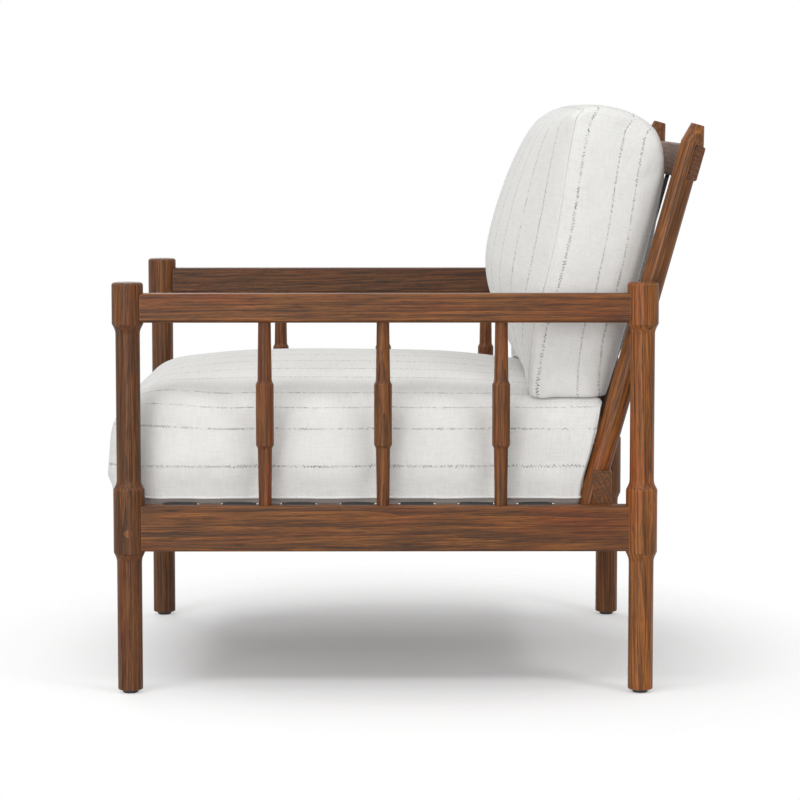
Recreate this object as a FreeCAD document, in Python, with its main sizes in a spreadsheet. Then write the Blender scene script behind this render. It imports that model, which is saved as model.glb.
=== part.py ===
"""Teak lounge chair: turned posts, tenoned rails, a leaning back, webbing and two loose cushions.

Millimetres, +Z up, and the sitter faces -Y. The origin is on the floor under the middle of the chair.
"""
import FreeCAD, Part
import math
import os
import Sketcher

doc = FreeCAD.newDocument("teak_lounge_chair")
sheet = doc.addObject("Spreadsheet::Sheet", "Sizes")

SIZES = {
    # Where the posts stand
    "post_span_width": 700.0,
    "post_span_depth": 759.0,
    "origin_setback": 23.5,
    # Turned posts
    "post_height": 611.0,
    "leg_diameter": 37.0,
    "shaft_diameter": 36.0,
    "drum_diameter": 46.5,
    "drum_below_rail": 2.0,
    "drum_above_rail": 23.0,
    "cone_length": 10.0,
    "cove_radius": 20.0,
    "post_top_round": 4.5,
    "leg_end_round": 2.0,
    "turned_edge_round": 0.8,
    # Foot glides
    "glide_height": 5.0,
    "glide_diameter": 23.0,
    "glide_chamfer": 1.5,
    "glide_stem_diameter": 6.0,
    "glide_stem_length": 18.0,
    # Seat rails and arm rails
    "seat_rail_bottom": 213.0,
    "seat_rail_height": 68.0,
    "seat_rail_thickness": 28.0,
    "seat_rail_round": 3.0,
    "arm_rail_drop": 16.0,
    "arm_rail_height": 43.0,
    "arm_rail_thickness": 28.0,
    "arm_rail_round": 5.0,
    # Mortise and tenon joints
    "joint_gap": 0.1,
    "tenon_thickness": 10.0,
    "tenon_shoulder": 9.0,
    "tenon_depth": 17.0,
    "tenon_root": 6.0,
    "stub_tenon_depth": 9.0,
    # Arm spindles
    "spindle_pitch": 174.5,
    "spindle_shift": -3.5,
    "spindle_end_diameter": 18.8,
    "spindle_neck_diameter": 21.2,
    "spindle_drum_diameter": 26.5,
    "spindle_drum_rise": 89.5,
    "spindle_drum_length": 90.0,
    "spindle_cone_length": 5.0,
    "spindle_cove_radius": 7.0,
    "spindle_tenon_diameter": 13.0,
    "spindle_tenon_length": 15.0,
    # Leaning back
    "back_lean": 15.6,
    "stile_ahead": 74.5,
    "stile_diameter": 34.5,
    "stile_foot_diameter": 32.0,
    "stile_taper_length": 300.0,
    "stile_tip_diameter": 20.0,
    "stile_tip_length": 28.0,
    "stile_tip_round": 1.5,
    "stile_foot_rise": 12.0,
    "stile_top_height": 842.0,
    "stile_housing": 2.0,
    "top_rail_height": 52.0,
    "top_rail_thickness": 16.0,
    "top_rail_drop": 30.0,
    "top_rail_behind": 19.8,
    "top_rail_overhang": 12.0,
    "top_rail_round": 3.5,
    "rear_rail_thickness": 28.0,
    "rear_rail_ahead": 42.5,
    "rear_rail_rise": 49.0,
    # Webbing
    "strap_width": 50.0,
    "strap_thickness": 2.0,
    "strap_bearing": 14.0,
    "seat_strap_start": 74.5,
    "seat_strap_end": 156.5,
    "back_strap_margin": 66.5,
    "strap_groove_depth": 14.0,
    "strap_gap": 0.2,
    # Bolts through the front posts
    "bolt_rise": 28.0,
    "bolt_diameter": 6.0,
    "bolt_head_diameter": 10.0,
    "bolt_head_height": 6.0,
    "bolt_length": 95.0,
    "bolt_plug_diameter": 10.5,
    "bolt_plug_length": 8.0,
    "nut_diameter": 10.0,
    "nut_length": 20.0,
    "nut_from_tip": 12.0,
    # Screws of the back
    "screw_diameter": 5.0,
    "screw_head_diameter": 9.0,
    "screw_head_height": 3.0,
    "screw_plug_diameter": 9.5,
    "screw_plug_length": 3.5,
    "foot_screw_length": 30.0,
    "foot_screw_rise": 37.0,
    "foot_screw_drop": 30.0,
    "post_screw_length": 46.0,
    "post_screw_rise": 20.0,
    "top_screw_length": 22.0,
    "top_screw_spread": 26.0,
    # Cushions
    "cushion_gap": 0.5,
    "cover_thickness": 3.0,
    "core_gap": 0.6,
    "seat_side_gap": 2.5,
    "seat_side_bulge": 11.0,
    "seat_edge_height": 155.0,
    "seat_crown": 49.0,
    "seat_overhang": 45.5,
    "seat_front_roll": 90.0,
    "seat_front_lift": 38.0,
    "seat_front_drop": 55.0,
    "seat_corner_round": 48.0,
    "seat_crown_rise": 220.0,
    "seat_crown_fall": 297.0,
    "seat_rear_slant": 0.7,
    "seat_rear_crown": 0.4,
    "back_side_gap": 31.0,
    "back_cushion_top": 872.0,
    "back_foot_depth": 132.0,
    "back_foot_round": 45.0,
    "back_foot_gap": 2.5,
    "back_toe_setback": 14.0,
    "back_toe_lift": 15.0,
    "back_tread_lift": 2.0,
    "back_shin_rise": 106.0,
    "back_belly_rise": 172.0,
    "back_brow_drop": 140.0,
    "back_brow_reach": 12.0,
    "back_shoulder_drop": 13.0,
    "back_shoulder_reach": 20.0,
    "back_crest_setback": 8.0,
    "back_cap_setback": 40.0,
    "back_cap_drop": 3.0,
    "back_nape_reach": 44.0,
    "back_nape_drop": 37.0,
    "back_hip_drop": 107.0,
    "back_hip_gap": 5.0,
    "back_small_gap": 0.5,
    "back_side_draw": 6.0,
    "back_rear_draw": -0.9,
    "back_stile_margin": 6.0,
    "back_boxing_depth": 137.0,
    "back_front_crown": 79.0,
    "back_rear_crown": 20.0,
    "back_corner_round": 26.0,
}
for row, (alias, number) in enumerate(SIZES.items(), start=1):
    sheet.set(f"A{row}", str(number))
    sheet.setAlias(f"A{row}", alias)
doc.recompute()

SEAT_STRAPS = 7
BACK_STRAPS = 6
SIDES = {"left": 1, "right": -1}
SPINDLES = {"front": -1, "middle": 0, "rear": 1}

# Places and half sizes that several pieces share
MIDDLE = "(-Sizes.origin_setback)"
FRONT = "(-Sizes.origin_setback - Sizes.post_span_depth / 2)"
REAR = "(-Sizes.origin_setback + Sizes.post_span_depth / 2)"
SIDE = "(Sizes.post_span_width / 2)"
DRUM_RADIUS = "(Sizes.drum_diameter / 2)"
STILE_RADIUS = "(Sizes.stile_diameter / 2)"
RAIL_TOP = "(Sizes.seat_rail_bottom + Sizes.seat_rail_height)"
ARM_LOW = "(Sizes.post_height - Sizes.arm_rail_drop - Sizes.arm_rail_height)"
LOWER_DRUM_LOW = "(Sizes.seat_rail_bottom - Sizes.drum_below_rail)"
LOWER_DRUM_TOP = f"({RAIL_TOP} + Sizes.drum_above_rail)"
UPPER_DRUM_LOW = f"({ARM_LOW} - Sizes.drum_below_rail)"
SPINDLE_DRUM_LOW = f"({RAIL_TOP} + Sizes.spindle_drum_rise)"
SPINDLE_DRUM_TOP = f"({SPINDLE_DRUM_LOW} + Sizes.spindle_drum_length)"
RAIL_INSIDE = "(Sizes.post_span_width / 2 - Sizes.seat_rail_thickness / 2)"
REAR_RAIL_BACK = f"({REAR} - Sizes.rear_rail_ahead)"
REAR_RAIL_TOP = f"({RAIL_TOP} + Sizes.rear_rail_rise)"
REAR_RAIL_FRONT = f"({REAR_RAIL_BACK} - Sizes.rear_rail_thickness)"
STILE_ACROSS = f"({SIDE} - {DRUM_RADIUS} - {STILE_RADIUS} + Sizes.stile_housing)"
STILE_LOW = "(Sizes.seat_rail_bottom + Sizes.stile_foot_rise)"
STILE_FOOT_DROP = f"(tan(Sizes.back_lean) * ({RAIL_TOP} - {STILE_LOW}))"
STILE_FOOT = f"({REAR} - Sizes.stile_ahead - {STILE_FOOT_DROP})"
STILE_LENGTH = f"((Sizes.stile_top_height - {STILE_LOW}) / cos(Sizes.back_lean))"
TOP_RAIL_UPPER = f"({STILE_LENGTH} - Sizes.top_rail_drop)"
TOP_RAIL_LOWER = f"({TOP_RAIL_UPPER} - Sizes.top_rail_height)"
TOP_RAIL_FRONT = "(Sizes.top_rail_behind - Sizes.top_rail_thickness)"
STRAP_REACH = f"({STILE_ACROSS} - Sizes.back_strap_margin)"
STRAP_BEHIND = "(Sizes.top_rail_behind - Sizes.top_rail_thickness / 2)"

# Turns that bring +Z to a direction: an axis and an angle
TURNS = {
    "right": ((0, 1, 0), "90"),
    "left": ((0, -1, 0), "90"),
    "back": ((-1, 0, 0), "90"),
    "front": ((1, 0, 0), "90"),
    "lean": ((-1, 0, 0), "Sizes.back_lean"),
    "lean_front": ((1, 0, 0), "90 - Sizes.back_lean"),
}

pieces = []


def value(expression):
    """The number that an expression over the sheet gives now."""
    return float(sheet.evalExpression(expression))


def bind(item, sizes):
    """Ties properties of an object to expressions over the sheet."""
    for path, expression in sizes.items():
        item.setExpression(path, expression)
    return item


def place(item, spot, way="up"):
    """Puts an object's own origin at a spot, with its +Z turned to a named direction."""
    if way in TURNS:
        axis, angle = TURNS[way]
        turn = FreeCAD.Rotation(FreeCAD.Vector(*axis), value(angle))
        item.Placement = FreeCAD.Placement(FreeCAD.Vector(), turn)
        bind(item, {"Placement.Rotation.Angle": angle})
    paths = ("Placement.Base.x", "Placement.Base.y", "Placement.Base.z")
    return bind(item, dict(zip(paths, spot)))


def on_back(across, behind, along):
    """A spot in the leaning back: across, behind the stile axes, and along them from their foot."""
    y = f"{STILE_FOOT} + ({behind}) * cos(Sizes.back_lean) + ({along}) * sin(Sizes.back_lean)"
    z = f"{STILE_LOW} - ({behind}) * sin(Sizes.back_lean) + ({along}) * cos(Sizes.back_lean)"
    return across, y, z


def stile_line(height):
    """Where the stile axis is, front to back, at a height."""
    return f"({REAR} - Sizes.stile_ahead + tan(Sizes.back_lean) * ({height} - {RAIL_TOP}))"


def rod(name, diameter, length, spot, way="up"):
    """A cylinder that starts at a spot and runs a named way."""
    item = doc.addObject("Part::Cylinder", name)
    bind(item, {"Radius": f"({diameter}) / 2", "Height": length})
    return place(item, spot, way)


def block(name, spans, leaning=False):
    """A box between two expressions along each axis, upright or in the leaning back's own axes."""
    item = doc.addObject("Part::Box", name)
    ordered = [sorted(span, key=value) for span in spans]
    lengths = [f"({high}) - ({low})" for low, high in ordered]
    bind(item, dict(zip(("Length", "Width", "Height"), lengths)))
    corner = [low for low, high in ordered]
    if leaning:
        return place(item, on_back(*corner), "lean")
    return place(item, corner)


def join(name, items):
    """One object fused of several."""
    item = doc.addObject("Part::MultiFuse", name)
    item.Shapes = items
    return item


def cut(name, base, tools):
    """What is left of a base when tools are taken out of it."""
    item = doc.addObject("Part::Cut", name)
    item.Base = base
    item.Tool = tools[0] if len(tools) == 1 else join(f"{name}_tools", tools)
    return item


def overlap(name, one, other):
    """What two objects share."""
    item = doc.addObject("Part::Common", name)
    item.Base = one
    item.Tool = other
    return item


def group(name, items):
    """Like pieces kept together as separate solids."""
    item = doc.addObject("Part::Compound", name)
    item.Links = items
    return item


def keep(item):
    """Lists an object as a piece of the chair, under its own name."""
    pieces.append(item)
    return item


def outline(body, role, corners):
    """A closed sketch of straight lines on one of a body's planes, each corner tied to the sheet."""
    sketch = body.newObject("Sketcher::SketchObject", f"{body.Name}_outline")
    plane = next(item for item in body.Origin.OriginFeatures if item.Role == role)
    sketch.AttachmentSupport = (plane, [""])
    sketch.MapMode = "FlatFace"
    spots = [FreeCAD.Vector(value(u), value(v), 0) for u, v in corners]
    for here, there in zip(spots, spots[1:] + spots[:1]):
        sketch.addGeometry(Part.LineSegment(here, there), False)
    for line in range(len(spots)):
        following = (line + 1) % len(spots)
        sketch.addConstraint(Sketcher.Constraint("Coincident", line, 2, following, 1))
    for line, (u, v) in enumerate(corners):
        for kind, expression, axis in (("DistanceX", u, -2), ("DistanceY", v, -1)):
            if expression == "0":
                sketch.addConstraint(Sketcher.Constraint("PointOnObject", line, 1, axis))
                continue
            distance = Sketcher.Constraint(kind, -1, 1, line, 1, value(expression))
            number = sketch.addConstraint(distance)
            sketch.setExpression(f"Constraints[{number}]", expression)
    return sketch


def ease(body, name, edges, radius):
    """Rounds edges of a body's last feature."""
    before = body.Tip
    fillet = body.newObject("PartDesign::Fillet", name)
    fillet.Base = (before, edges)
    fillet.setExpression("Radius", radius)
    body.Tip = fillet
    doc.recompute()


def rings(shape, spots):
    """Names of the circular edges of a turned shape at the given radii and heights."""
    wanted = [(value(radius), value(height)) for radius, height in spots]
    names = []
    for number, edge in enumerate(shape.Edges, start=1):
        if not isinstance(edge.Curve, Part.Circle):
            continue
        here = (edge.Curve.Radius, edge.Curve.Center.z)
        if any(math.dist(here, there) < 1e-4 for there in wanted):
            names.append(f"Edge{number}")
    return names


def turned(name, corners, eased):
    """A body turned about its own Z from half its outline, with some of its rings rounded."""
    body = doc.addObject("PartDesign::Body", name)
    sketch = outline(body, "XZ_Plane", corners)
    spin = body.newObject("PartDesign::Revolution", f"{name}_spin")
    spin.Profile = sketch
    spin.ReferenceAxis = (sketch, ["V_Axis"])
    spin.Angle = 360
    body.Tip = spin
    doc.recompute()
    for number, (radius, spots) in enumerate(eased):
        ease(body, f"{name}_ease_{number}", rings(body.Tip.Shape, spots), radius)
    return body


def board(name, role, width, height, length, radius):
    """A straight board with rounded long edges, run both ways from its middle."""
    body = doc.addObject("PartDesign::Body", name)
    (left, right), (low, high) = width, height
    sketch = outline(body, role, [(left, low), (right, low), (right, high), (left, high)])
    pad = body.newObject("PartDesign::Pad", f"{name}_pad")
    pad.Profile = sketch
    pad.SideType = "Symmetric"
    pad.setExpression("Length", length)
    body.Tip = pad
    doc.recompute()
    run = {"XZ_Plane": FreeCAD.Vector(0, 1, 0), "YZ_Plane": FreeCAD.Vector(1, 0, 0)}[role]
    names = []
    for number, edge in enumerate(pad.Shape.Edges, start=1):
        if abs(edge.tangentAt(edge.FirstParameter).dot(run)) > 0.999:
            names.append(f"Edge{number}")
    ease(body, f"{name}_ease", names, radius)
    return body


def centred(middle, width):
    """The two ends of a width about its middle."""
    return f"{middle} - ({width}) / 2", f"{middle} + ({width}) / 2"


def post_place(side, end):
    """Where a post's axis stands on the floor."""
    return f"{side} * {SIDE}", FRONT if end == "front" else REAR, "0"


def drum_room(name, side, end):
    """The room that a post's drum takes out of the rail that meets it."""
    diameter = "Sizes.drum_diameter + 2 * Sizes.joint_gap"
    return rod(name, diameter, "Sizes.post_height", post_place(side, end))


def rail_tenon(name, side, end, bottom, height, room="0"):
    """The tenon of a rail along the chair's side, or its mortise where there is room around it."""
    x, y, floor = post_place(side, end)
    inward = 1 if end == "front" else -1
    tip = f"{y} + {inward} * ({DRUM_RADIUS} - Sizes.tenon_depth - {room})"
    root = f"{y} + {inward} * ({DRUM_RADIUS} + Sizes.tenon_root)"
    low = f"{bottom} + Sizes.tenon_shoulder - {room}"
    high = f"{bottom} + {height} - Sizes.tenon_shoulder + {room}"
    return block(name, [centred(x, f"Sizes.tenon_thickness + 2 * {room}"), (tip, root), (low, high)])


def front_tenon(name, side, room="0"):
    """The stub tenon of the front rail, or its mortise."""
    tip = f"{side} * ({SIDE} - {DRUM_RADIUS} + Sizes.stub_tenon_depth + {room})"
    root = f"{side} * ({SIDE} - {DRUM_RADIUS} - Sizes.tenon_root)"
    low = f"Sizes.seat_rail_bottom + Sizes.tenon_shoulder - {room}"
    high = f"{RAIL_TOP} - Sizes.tenon_shoulder + {room}"
    return block(name, [(tip, root), centred(FRONT, f"Sizes.tenon_thickness + 2 * {room}"), (low, high)])


def rear_tenon(name, side, room="0"):
    """The stub tenon of the rear rail in a side rail, or its mortise."""
    tip = f"{side} * ({RAIL_INSIDE} + Sizes.stub_tenon_depth + {room})"
    root = f"{side} * ({RAIL_INSIDE} - Sizes.tenon_root)"
    middle = f"({REAR_RAIL_BACK} - Sizes.rear_rail_thickness / 2)"
    low = f"Sizes.seat_rail_bottom + Sizes.tenon_shoulder - {room}"
    high = f"{RAIL_TOP} - Sizes.tenon_shoulder + {room}"
    return block(name, [(tip, root), centred(middle, f"Sizes.tenon_thickness + 2 * {room}"), (low, high)])


def screw_set(name, spot, way, length):
    """A screw, the plug over its head and the hole for both, from a spot on the surface inwards."""
    gap = "Sizes.joint_gap"
    deep = "Sizes.screw_plug_length"
    plug = rod(f"{name}_plug", "Sizes.screw_plug_diameter", deep, spot("0"), way)
    head = rod(f"{name}_head", "Sizes.screw_head_diameter", "Sizes.screw_head_height", spot(deep), way)
    reach = f"Sizes.screw_head_height + {length}"
    shank = rod(f"{name}_shank", "Sizes.screw_diameter", reach, spot(deep), way)
    recess = rod(f"{name}_recess", f"Sizes.screw_plug_diameter + 2 * {gap}",
                 f"{deep} + Sizes.screw_head_height", spot("0"), way)
    bore = rod(f"{name}_bore", f"Sizes.screw_diameter + 2 * {gap}", f"{deep} + {reach} + {gap}", spot("0"), way)
    return join(f"{name}_screw", [head, shank]), plug, join(f"{name}_hole", [recess, bore])


# Foot glides: a black pad on a stem that is pressed into the leg
def make_glide(label, side, end):
    pad = "(Sizes.glide_diameter / 2)"
    stem = "(Sizes.glide_stem_diameter / 2)"
    stem_top = "Sizes.glide_height + Sizes.glide_stem_length"
    corners = [
        ("0", "0"),
        (f"{pad} - Sizes.glide_chamfer", "0"),
        (pad, "Sizes.glide_chamfer"),
        (pad, "Sizes.glide_height"),
        (stem, "Sizes.glide_height"),
        (stem, stem_top),
        ("0", stem_top),
    ]
    return place(turned(label, corners, []), post_place(side, end))


# Posts: leg, lower drum, shaft and upper drum turned in one piece
def make_post_blank(name, side, end):
    leg = "(Sizes.leg_diameter / 2)"
    shaft = "(Sizes.shaft_diameter / 2)"
    leg_top = f"{LOWER_DRUM_LOW} - Sizes.cone_length"
    shaft_low = f"{LOWER_DRUM_TOP} + Sizes.cone_length"
    shaft_top = f"{UPPER_DRUM_LOW} - Sizes.cone_length"
    corners = [
        ("0", "Sizes.glide_height"),
        (leg, "Sizes.glide_height"),
        (leg, leg_top),
        (DRUM_RADIUS, LOWER_DRUM_LOW),
        (DRUM_RADIUS, LOWER_DRUM_TOP),
        (shaft, shaft_low),
        (shaft, shaft_top),
        (DRUM_RADIUS, UPPER_DRUM_LOW),
        (DRUM_RADIUS, "Sizes.post_height"),
        ("0", "Sizes.post_height"),
    ]
    drum_edges = [(DRUM_RADIUS, edge) for edge in (LOWER_DRUM_LOW, LOWER_DRUM_TOP, UPPER_DRUM_LOW)]
    eased = [
        ("Sizes.cove_radius", [(leg, leg_top), (shaft, shaft_low), (shaft, shaft_top)]),
        ("Sizes.turned_edge_round", drum_edges),
        ("Sizes.post_top_round", [(DRUM_RADIUS, "Sizes.post_height")]),
        ("Sizes.leg_end_round", [(leg, "Sizes.glide_height")]),
    ]
    return place(turned(name, corners, eased), post_place(side, end))


def make_post(label, side, end, blank, more):
    gap = "Sizes.joint_gap"
    stem_room = f"Sizes.glide_stem_diameter + 2 * {gap}"
    stem_depth = f"Sizes.glide_height + Sizes.glide_stem_length + {gap}"
    tools = [
        rail_tenon(f"{label}_seat_mortise", side, end, "Sizes.seat_rail_bottom", "Sizes.seat_rail_height", gap),
        rail_tenon(f"{label}_arm_mortise", side, end, ARM_LOW, "Sizes.arm_rail_height", gap),
        rod(f"{label}_stem_hole", stem_room, stem_depth, post_place(side, end)),
    ]
    return cut(label, blank, tools + more)


# Bolts that pull the front rail to the front posts, with a plug over each head
def bolt_spot(side, depth):
    return f"{side} * ({SIDE} + {DRUM_RADIUS} - ({depth}))", FRONT, "Sizes.seat_rail_bottom + Sizes.bolt_rise"


def make_bolt(name, side, blank):
    way = "left" if side > 0 else "right"
    gap = "Sizes.joint_gap"
    deep = "Sizes.bolt_plug_length"
    reach = "Sizes.bolt_head_height + Sizes.bolt_length"
    plug_rod = rod(f"{name}_plug_rod", "Sizes.bolt_plug_diameter", deep, bolt_spot(side, "0"), way)
    plug = overlap(f"{name}_plug", plug_rod, blank)
    head = rod(f"{name}_head", "Sizes.bolt_head_diameter", "Sizes.bolt_head_height", bolt_spot(side, deep), way)
    shank = rod(f"{name}_shank", "Sizes.bolt_diameter", reach, bolt_spot(side, deep), way)
    recess = rod(f"{name}_recess", f"Sizes.bolt_plug_diameter + 2 * {gap}",
                 f"{deep} + Sizes.bolt_head_height", bolt_spot(side, "0"), way)
    bore = rod(f"{name}_bore", f"Sizes.bolt_diameter + 2 * {gap}",
               f"{deep} + {reach} + {gap}", bolt_spot(side, "0"), way)
    nut_depth = f"{deep} + {reach} - Sizes.nut_from_tip"
    x, y, z = bolt_spot(side, nut_depth)
    nut_rod = rod(f"{name}_nut_rod", "Sizes.nut_diameter", "Sizes.nut_length",
                  (x, f"{y} - Sizes.nut_length / 2", z), "back")
    nut = cut(f"{name}_nut", nut_rod, [bore])
    nut_hole = rod(f"{name}_nut_hole", f"Sizes.nut_diameter + 2 * {gap}",
                   f"Sizes.nut_length / 2 + Sizes.seat_rail_thickness / 2 + {gap}",
                   (x, f"{y} - Sizes.nut_length / 2 - {gap}", z), "back")
    return {
        "bolt": join(f"{name}_bolt", [head, shank]),
        "plug": plug,
        "nut": nut,
        "hole": join(f"{name}_hole", [recess, bore]),
        "nut_hole": nut_hole,
    }


# Arm spindles: thin ends, a thicker drum in the middle and a round tenon at each end
def spindle_place(side, step):
    y = f"{MIDDLE} + Sizes.spindle_shift + {step} * Sizes.spindle_pitch"
    return f"{side} * {SIDE}", y, "0"


def make_spindle(label, side, step):
    tenon = "(Sizes.spindle_tenon_diameter / 2)"
    end = "(Sizes.spindle_end_diameter / 2)"
    neck = "(Sizes.spindle_neck_diameter / 2)"
    drum = "(Sizes.spindle_drum_diameter / 2)"
    neck_low = f"{SPINDLE_DRUM_LOW} - Sizes.spindle_cone_length"
    neck_high = f"{SPINDLE_DRUM_TOP} + Sizes.spindle_cone_length"
    tenon_low = f"{RAIL_TOP} - Sizes.spindle_tenon_length"
    tenon_high = f"{ARM_LOW} + Sizes.spindle_tenon_length"
    corners = [
        ("0", tenon_low),
        (tenon, tenon_low),
        (tenon, RAIL_TOP),
        (end, RAIL_TOP),
        (neck, neck_low),
        (drum, SPINDLE_DRUM_LOW),
        (drum, SPINDLE_DRUM_TOP),
        (neck, neck_high),
        (end, ARM_LOW),
        (tenon, ARM_LOW),
        (tenon, tenon_high),
        ("0", tenon_high),
    ]
    eased = [
        ("Sizes.spindle_cove_radius", [(neck, neck_low), (neck, neck_high)]),
        ("Sizes.turned_edge_round", [(drum, SPINDLE_DRUM_LOW), (drum, SPINDLE_DRUM_TOP)]),
    ]
    return place(turned(label, corners, eased), spindle_place(side, step))


def spindle_holes(name, side, low, high):
    """Round mortises for one side's spindles between two heights."""
    diameter = "Sizes.spindle_tenon_diameter + 2 * Sizes.joint_gap"
    holes = []
    for step_name, step in SPINDLES.items():
        x, y, floor = spindle_place(side, step)
        holes.append(rod(f"{name}_{step_name}_hole", diameter, f"({high}) - ({low})", (x, y, low)))
    return holes


# Rails along the chair's sides, coped round the drums and tenoned into them
def make_long_rail(label, side, stock, bottom, tools):
    height = f"Sizes.{stock}_height"
    half = f"Sizes.{stock}_thickness / 2"
    blank = board(f"{label}_blank", "XZ_Plane", (f"-{half}", half), (bottom, f"{bottom} + {height}"),
                  "Sizes.post_span_depth", f"Sizes.{stock}_round")
    place(blank, (f"{side} * {SIDE}", MIDDLE, "0"))
    ends = ("front", "rear")
    coped = cut(f"{label}_coped", blank, [drum_room(f"{label}_{end}_cope", side, end) for end in ends])
    tenons = [rail_tenon(f"{label}_{end}_tenon", side, end, bottom, height) for end in ends]
    return cut(label, join(f"{label}_tenoned", [coped] + tenons), tools)


# Seat webbing: straps across the seat, let in flush at the inner edges of the side rails
def seat_strap_middle(number):
    row = "(Sizes.post_span_depth - Sizes.seat_strap_start - Sizes.seat_strap_end)"
    return f"({FRONT} + Sizes.seat_strap_start + {number} / {SEAT_STRAPS - 1} * {row})"


def make_seat_strap(label, number):
    reach = f"({RAIL_INSIDE} + Sizes.strap_bearing)"
    across = (f"-{reach}", reach)
    along = centred(seat_strap_middle(number), "Sizes.strap_width")
    return block(label, [across, along, (f"{RAIL_TOP} - Sizes.strap_thickness", RAIL_TOP)])


def strap_recesses(name, side):
    """Shallow seats for the strap ends in a side rail's top."""
    recesses = []
    for number in range(SEAT_STRAPS):
        across = (f"{side} * {RAIL_INSIDE}", f"{side} * ({RAIL_INSIDE} + Sizes.strap_bearing + Sizes.strap_gap)")
        along = centred(seat_strap_middle(number), "Sizes.strap_width + 2 * Sizes.strap_gap")
        upright = (f"{RAIL_TOP} - Sizes.strap_thickness", RAIL_TOP)
        recesses.append(block(f"{name}_recess_{number + 1}", [across, along, upright]))
    return recesses


# Leaning back: stiles, top rail, rear rail and upright straps
def make_stile_blank(name, side):
    foot = "(Sizes.stile_foot_diameter / 2)"
    tip = "(Sizes.stile_tip_diameter / 2)"
    tip_start = f"({STILE_LENGTH} - Sizes.stile_tip_length)"
    corners = [
        ("0", "0"),
        (foot, "0"),
        (STILE_RADIUS, "Sizes.stile_taper_length"),
        (STILE_RADIUS, tip_start),
        (tip, STILE_LENGTH),
        ("0", STILE_LENGTH),
    ]
    eased = [("Sizes.stile_tip_round", [(tip, STILE_LENGTH), (STILE_RADIUS, tip_start)])]
    blank = turned(name, corners, eased)
    return place(blank, on_back(f"{side} * {STILE_ACROSS}", "0", "0"), "lean")


def stile_room(name, side):
    """The seat that the stile takes in a rear post's upper drum."""
    diameter = "Sizes.stile_diameter + 2 * Sizes.joint_gap"
    spot = on_back(f"{side} * {STILE_ACROSS}", "0", "Sizes.stile_taper_length")
    return rod(name, diameter, f"{STILE_LENGTH} - Sizes.stile_taper_length", spot, "lean")


def stile_foot_room(name, side):
    """The seat that the tapered foot of the stile takes in the rear rail."""
    item = doc.addObject("Part::Cone", name)
    bind(item, {
        "Radius1": "Sizes.stile_foot_diameter / 2 + Sizes.joint_gap",
        "Radius2": f"{STILE_RADIUS} + Sizes.joint_gap",
        "Height": "Sizes.stile_taper_length",
    })
    return place(item, on_back(f"{side} * {STILE_ACROSS}", "0", "0"), "lean")


def top_rail_room(name, side):
    """The notch in the back of a stile for the top rail."""
    gap = "Sizes.joint_gap"
    across = centred(f"{side} * {STILE_ACROSS}", "2 * Sizes.stile_diameter")
    behind = (f"{TOP_RAIL_FRONT} - {gap}", "Sizes.top_rail_behind + Sizes.stile_diameter")
    along = (f"{TOP_RAIL_LOWER} - {gap}", f"{TOP_RAIL_UPPER} + {gap}")
    return block(name, [across, behind, along], leaning=True)


def strap_groove(name, low, high):
    """A groove in the straps' own plane, as long as the row of straps."""
    length = f"2 * {STRAP_REACH} + Sizes.strap_width + 2 * Sizes.strap_gap"
    behind = centred(STRAP_BEHIND, "Sizes.strap_thickness + 2 * Sizes.strap_gap")
    return block(name, [centred("0", length), behind, (low, high)], leaning=True)


def strap_foot():
    """How far along the back the straps' plane leaves the rear rail's top."""
    rise = f"{REAR_RAIL_TOP} - {STILE_LOW} + {STRAP_BEHIND} * sin(Sizes.back_lean)"
    return f"(({rise}) / cos(Sizes.back_lean))"


def make_back_strap(label, number):
    share = 2 * number / (BACK_STRAPS - 1) - 1
    across = centred(f"({share} * {STRAP_REACH})", "Sizes.strap_width")
    inside = "(Sizes.strap_groove_depth - Sizes.strap_gap)"
    along = (f"{strap_foot()} - {inside}", f"{TOP_RAIL_LOWER} + {inside}")
    return block(label, [across, centred(STRAP_BEHIND, "Sizes.strap_thickness"), along], leaning=True)


def make_top_rail(label, holes):
    length = f"2 * ({STILE_ACROSS} + Sizes.top_rail_overhang)"
    blank = board(f"{label}_blank", "YZ_Plane", (TOP_RAIL_FRONT, "Sizes.top_rail_behind"),
                  (TOP_RAIL_LOWER, TOP_RAIL_UPPER), length, "Sizes.top_rail_round")
    place(blank, on_back("0", "0", "0"), "lean")
    groove = strap_groove(f"{label}_groove", TOP_RAIL_LOWER, f"{TOP_RAIL_LOWER} + Sizes.strap_groove_depth")
    return cut(label, blank, [groove] + holes)


def make_rear_rail(label, holes):
    length = f"2 * ({RAIL_INSIDE} - Sizes.joint_gap)"
    blank = board(f"{label}_blank", "YZ_Plane", (REAR_RAIL_FRONT, REAR_RAIL_BACK),
                  ("Sizes.seat_rail_bottom", REAR_RAIL_TOP), length, "Sizes.seat_rail_round")
    tenons = [rear_tenon(f"{label}_{name}_tenon", side) for name, side in SIDES.items()]
    seats = [stile_foot_room(f"{label}_{name}_seat", side) for name, side in SIDES.items()]
    top = f"{strap_foot()} + Sizes.rear_rail_thickness"
    groove = strap_groove(f"{label}_groove", f"{strap_foot()} - Sizes.strap_groove_depth", top)
    return cut(label, join(f"{label}_tenoned", [blank] + tenons), seats + [groove] + holes)


def make_front_rail(label, holes):
    blank = board(f"{label}_blank", "YZ_Plane", centred(FRONT, "Sizes.seat_rail_thickness"),
                  ("Sizes.seat_rail_bottom", RAIL_TOP), "Sizes.post_span_width", "Sizes.seat_rail_round")
    copes = [drum_room(f"{label}_{name}_cope", side, "front") for name, side in SIDES.items()]
    tenons = [front_tenon(f"{label}_{name}_tenon", side) for name, side in SIDES.items()]
    return cut(label, join(f"{label}_tenoned", [cut(f"{label}_coped", blank, copes)] + tenons), holes)


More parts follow.
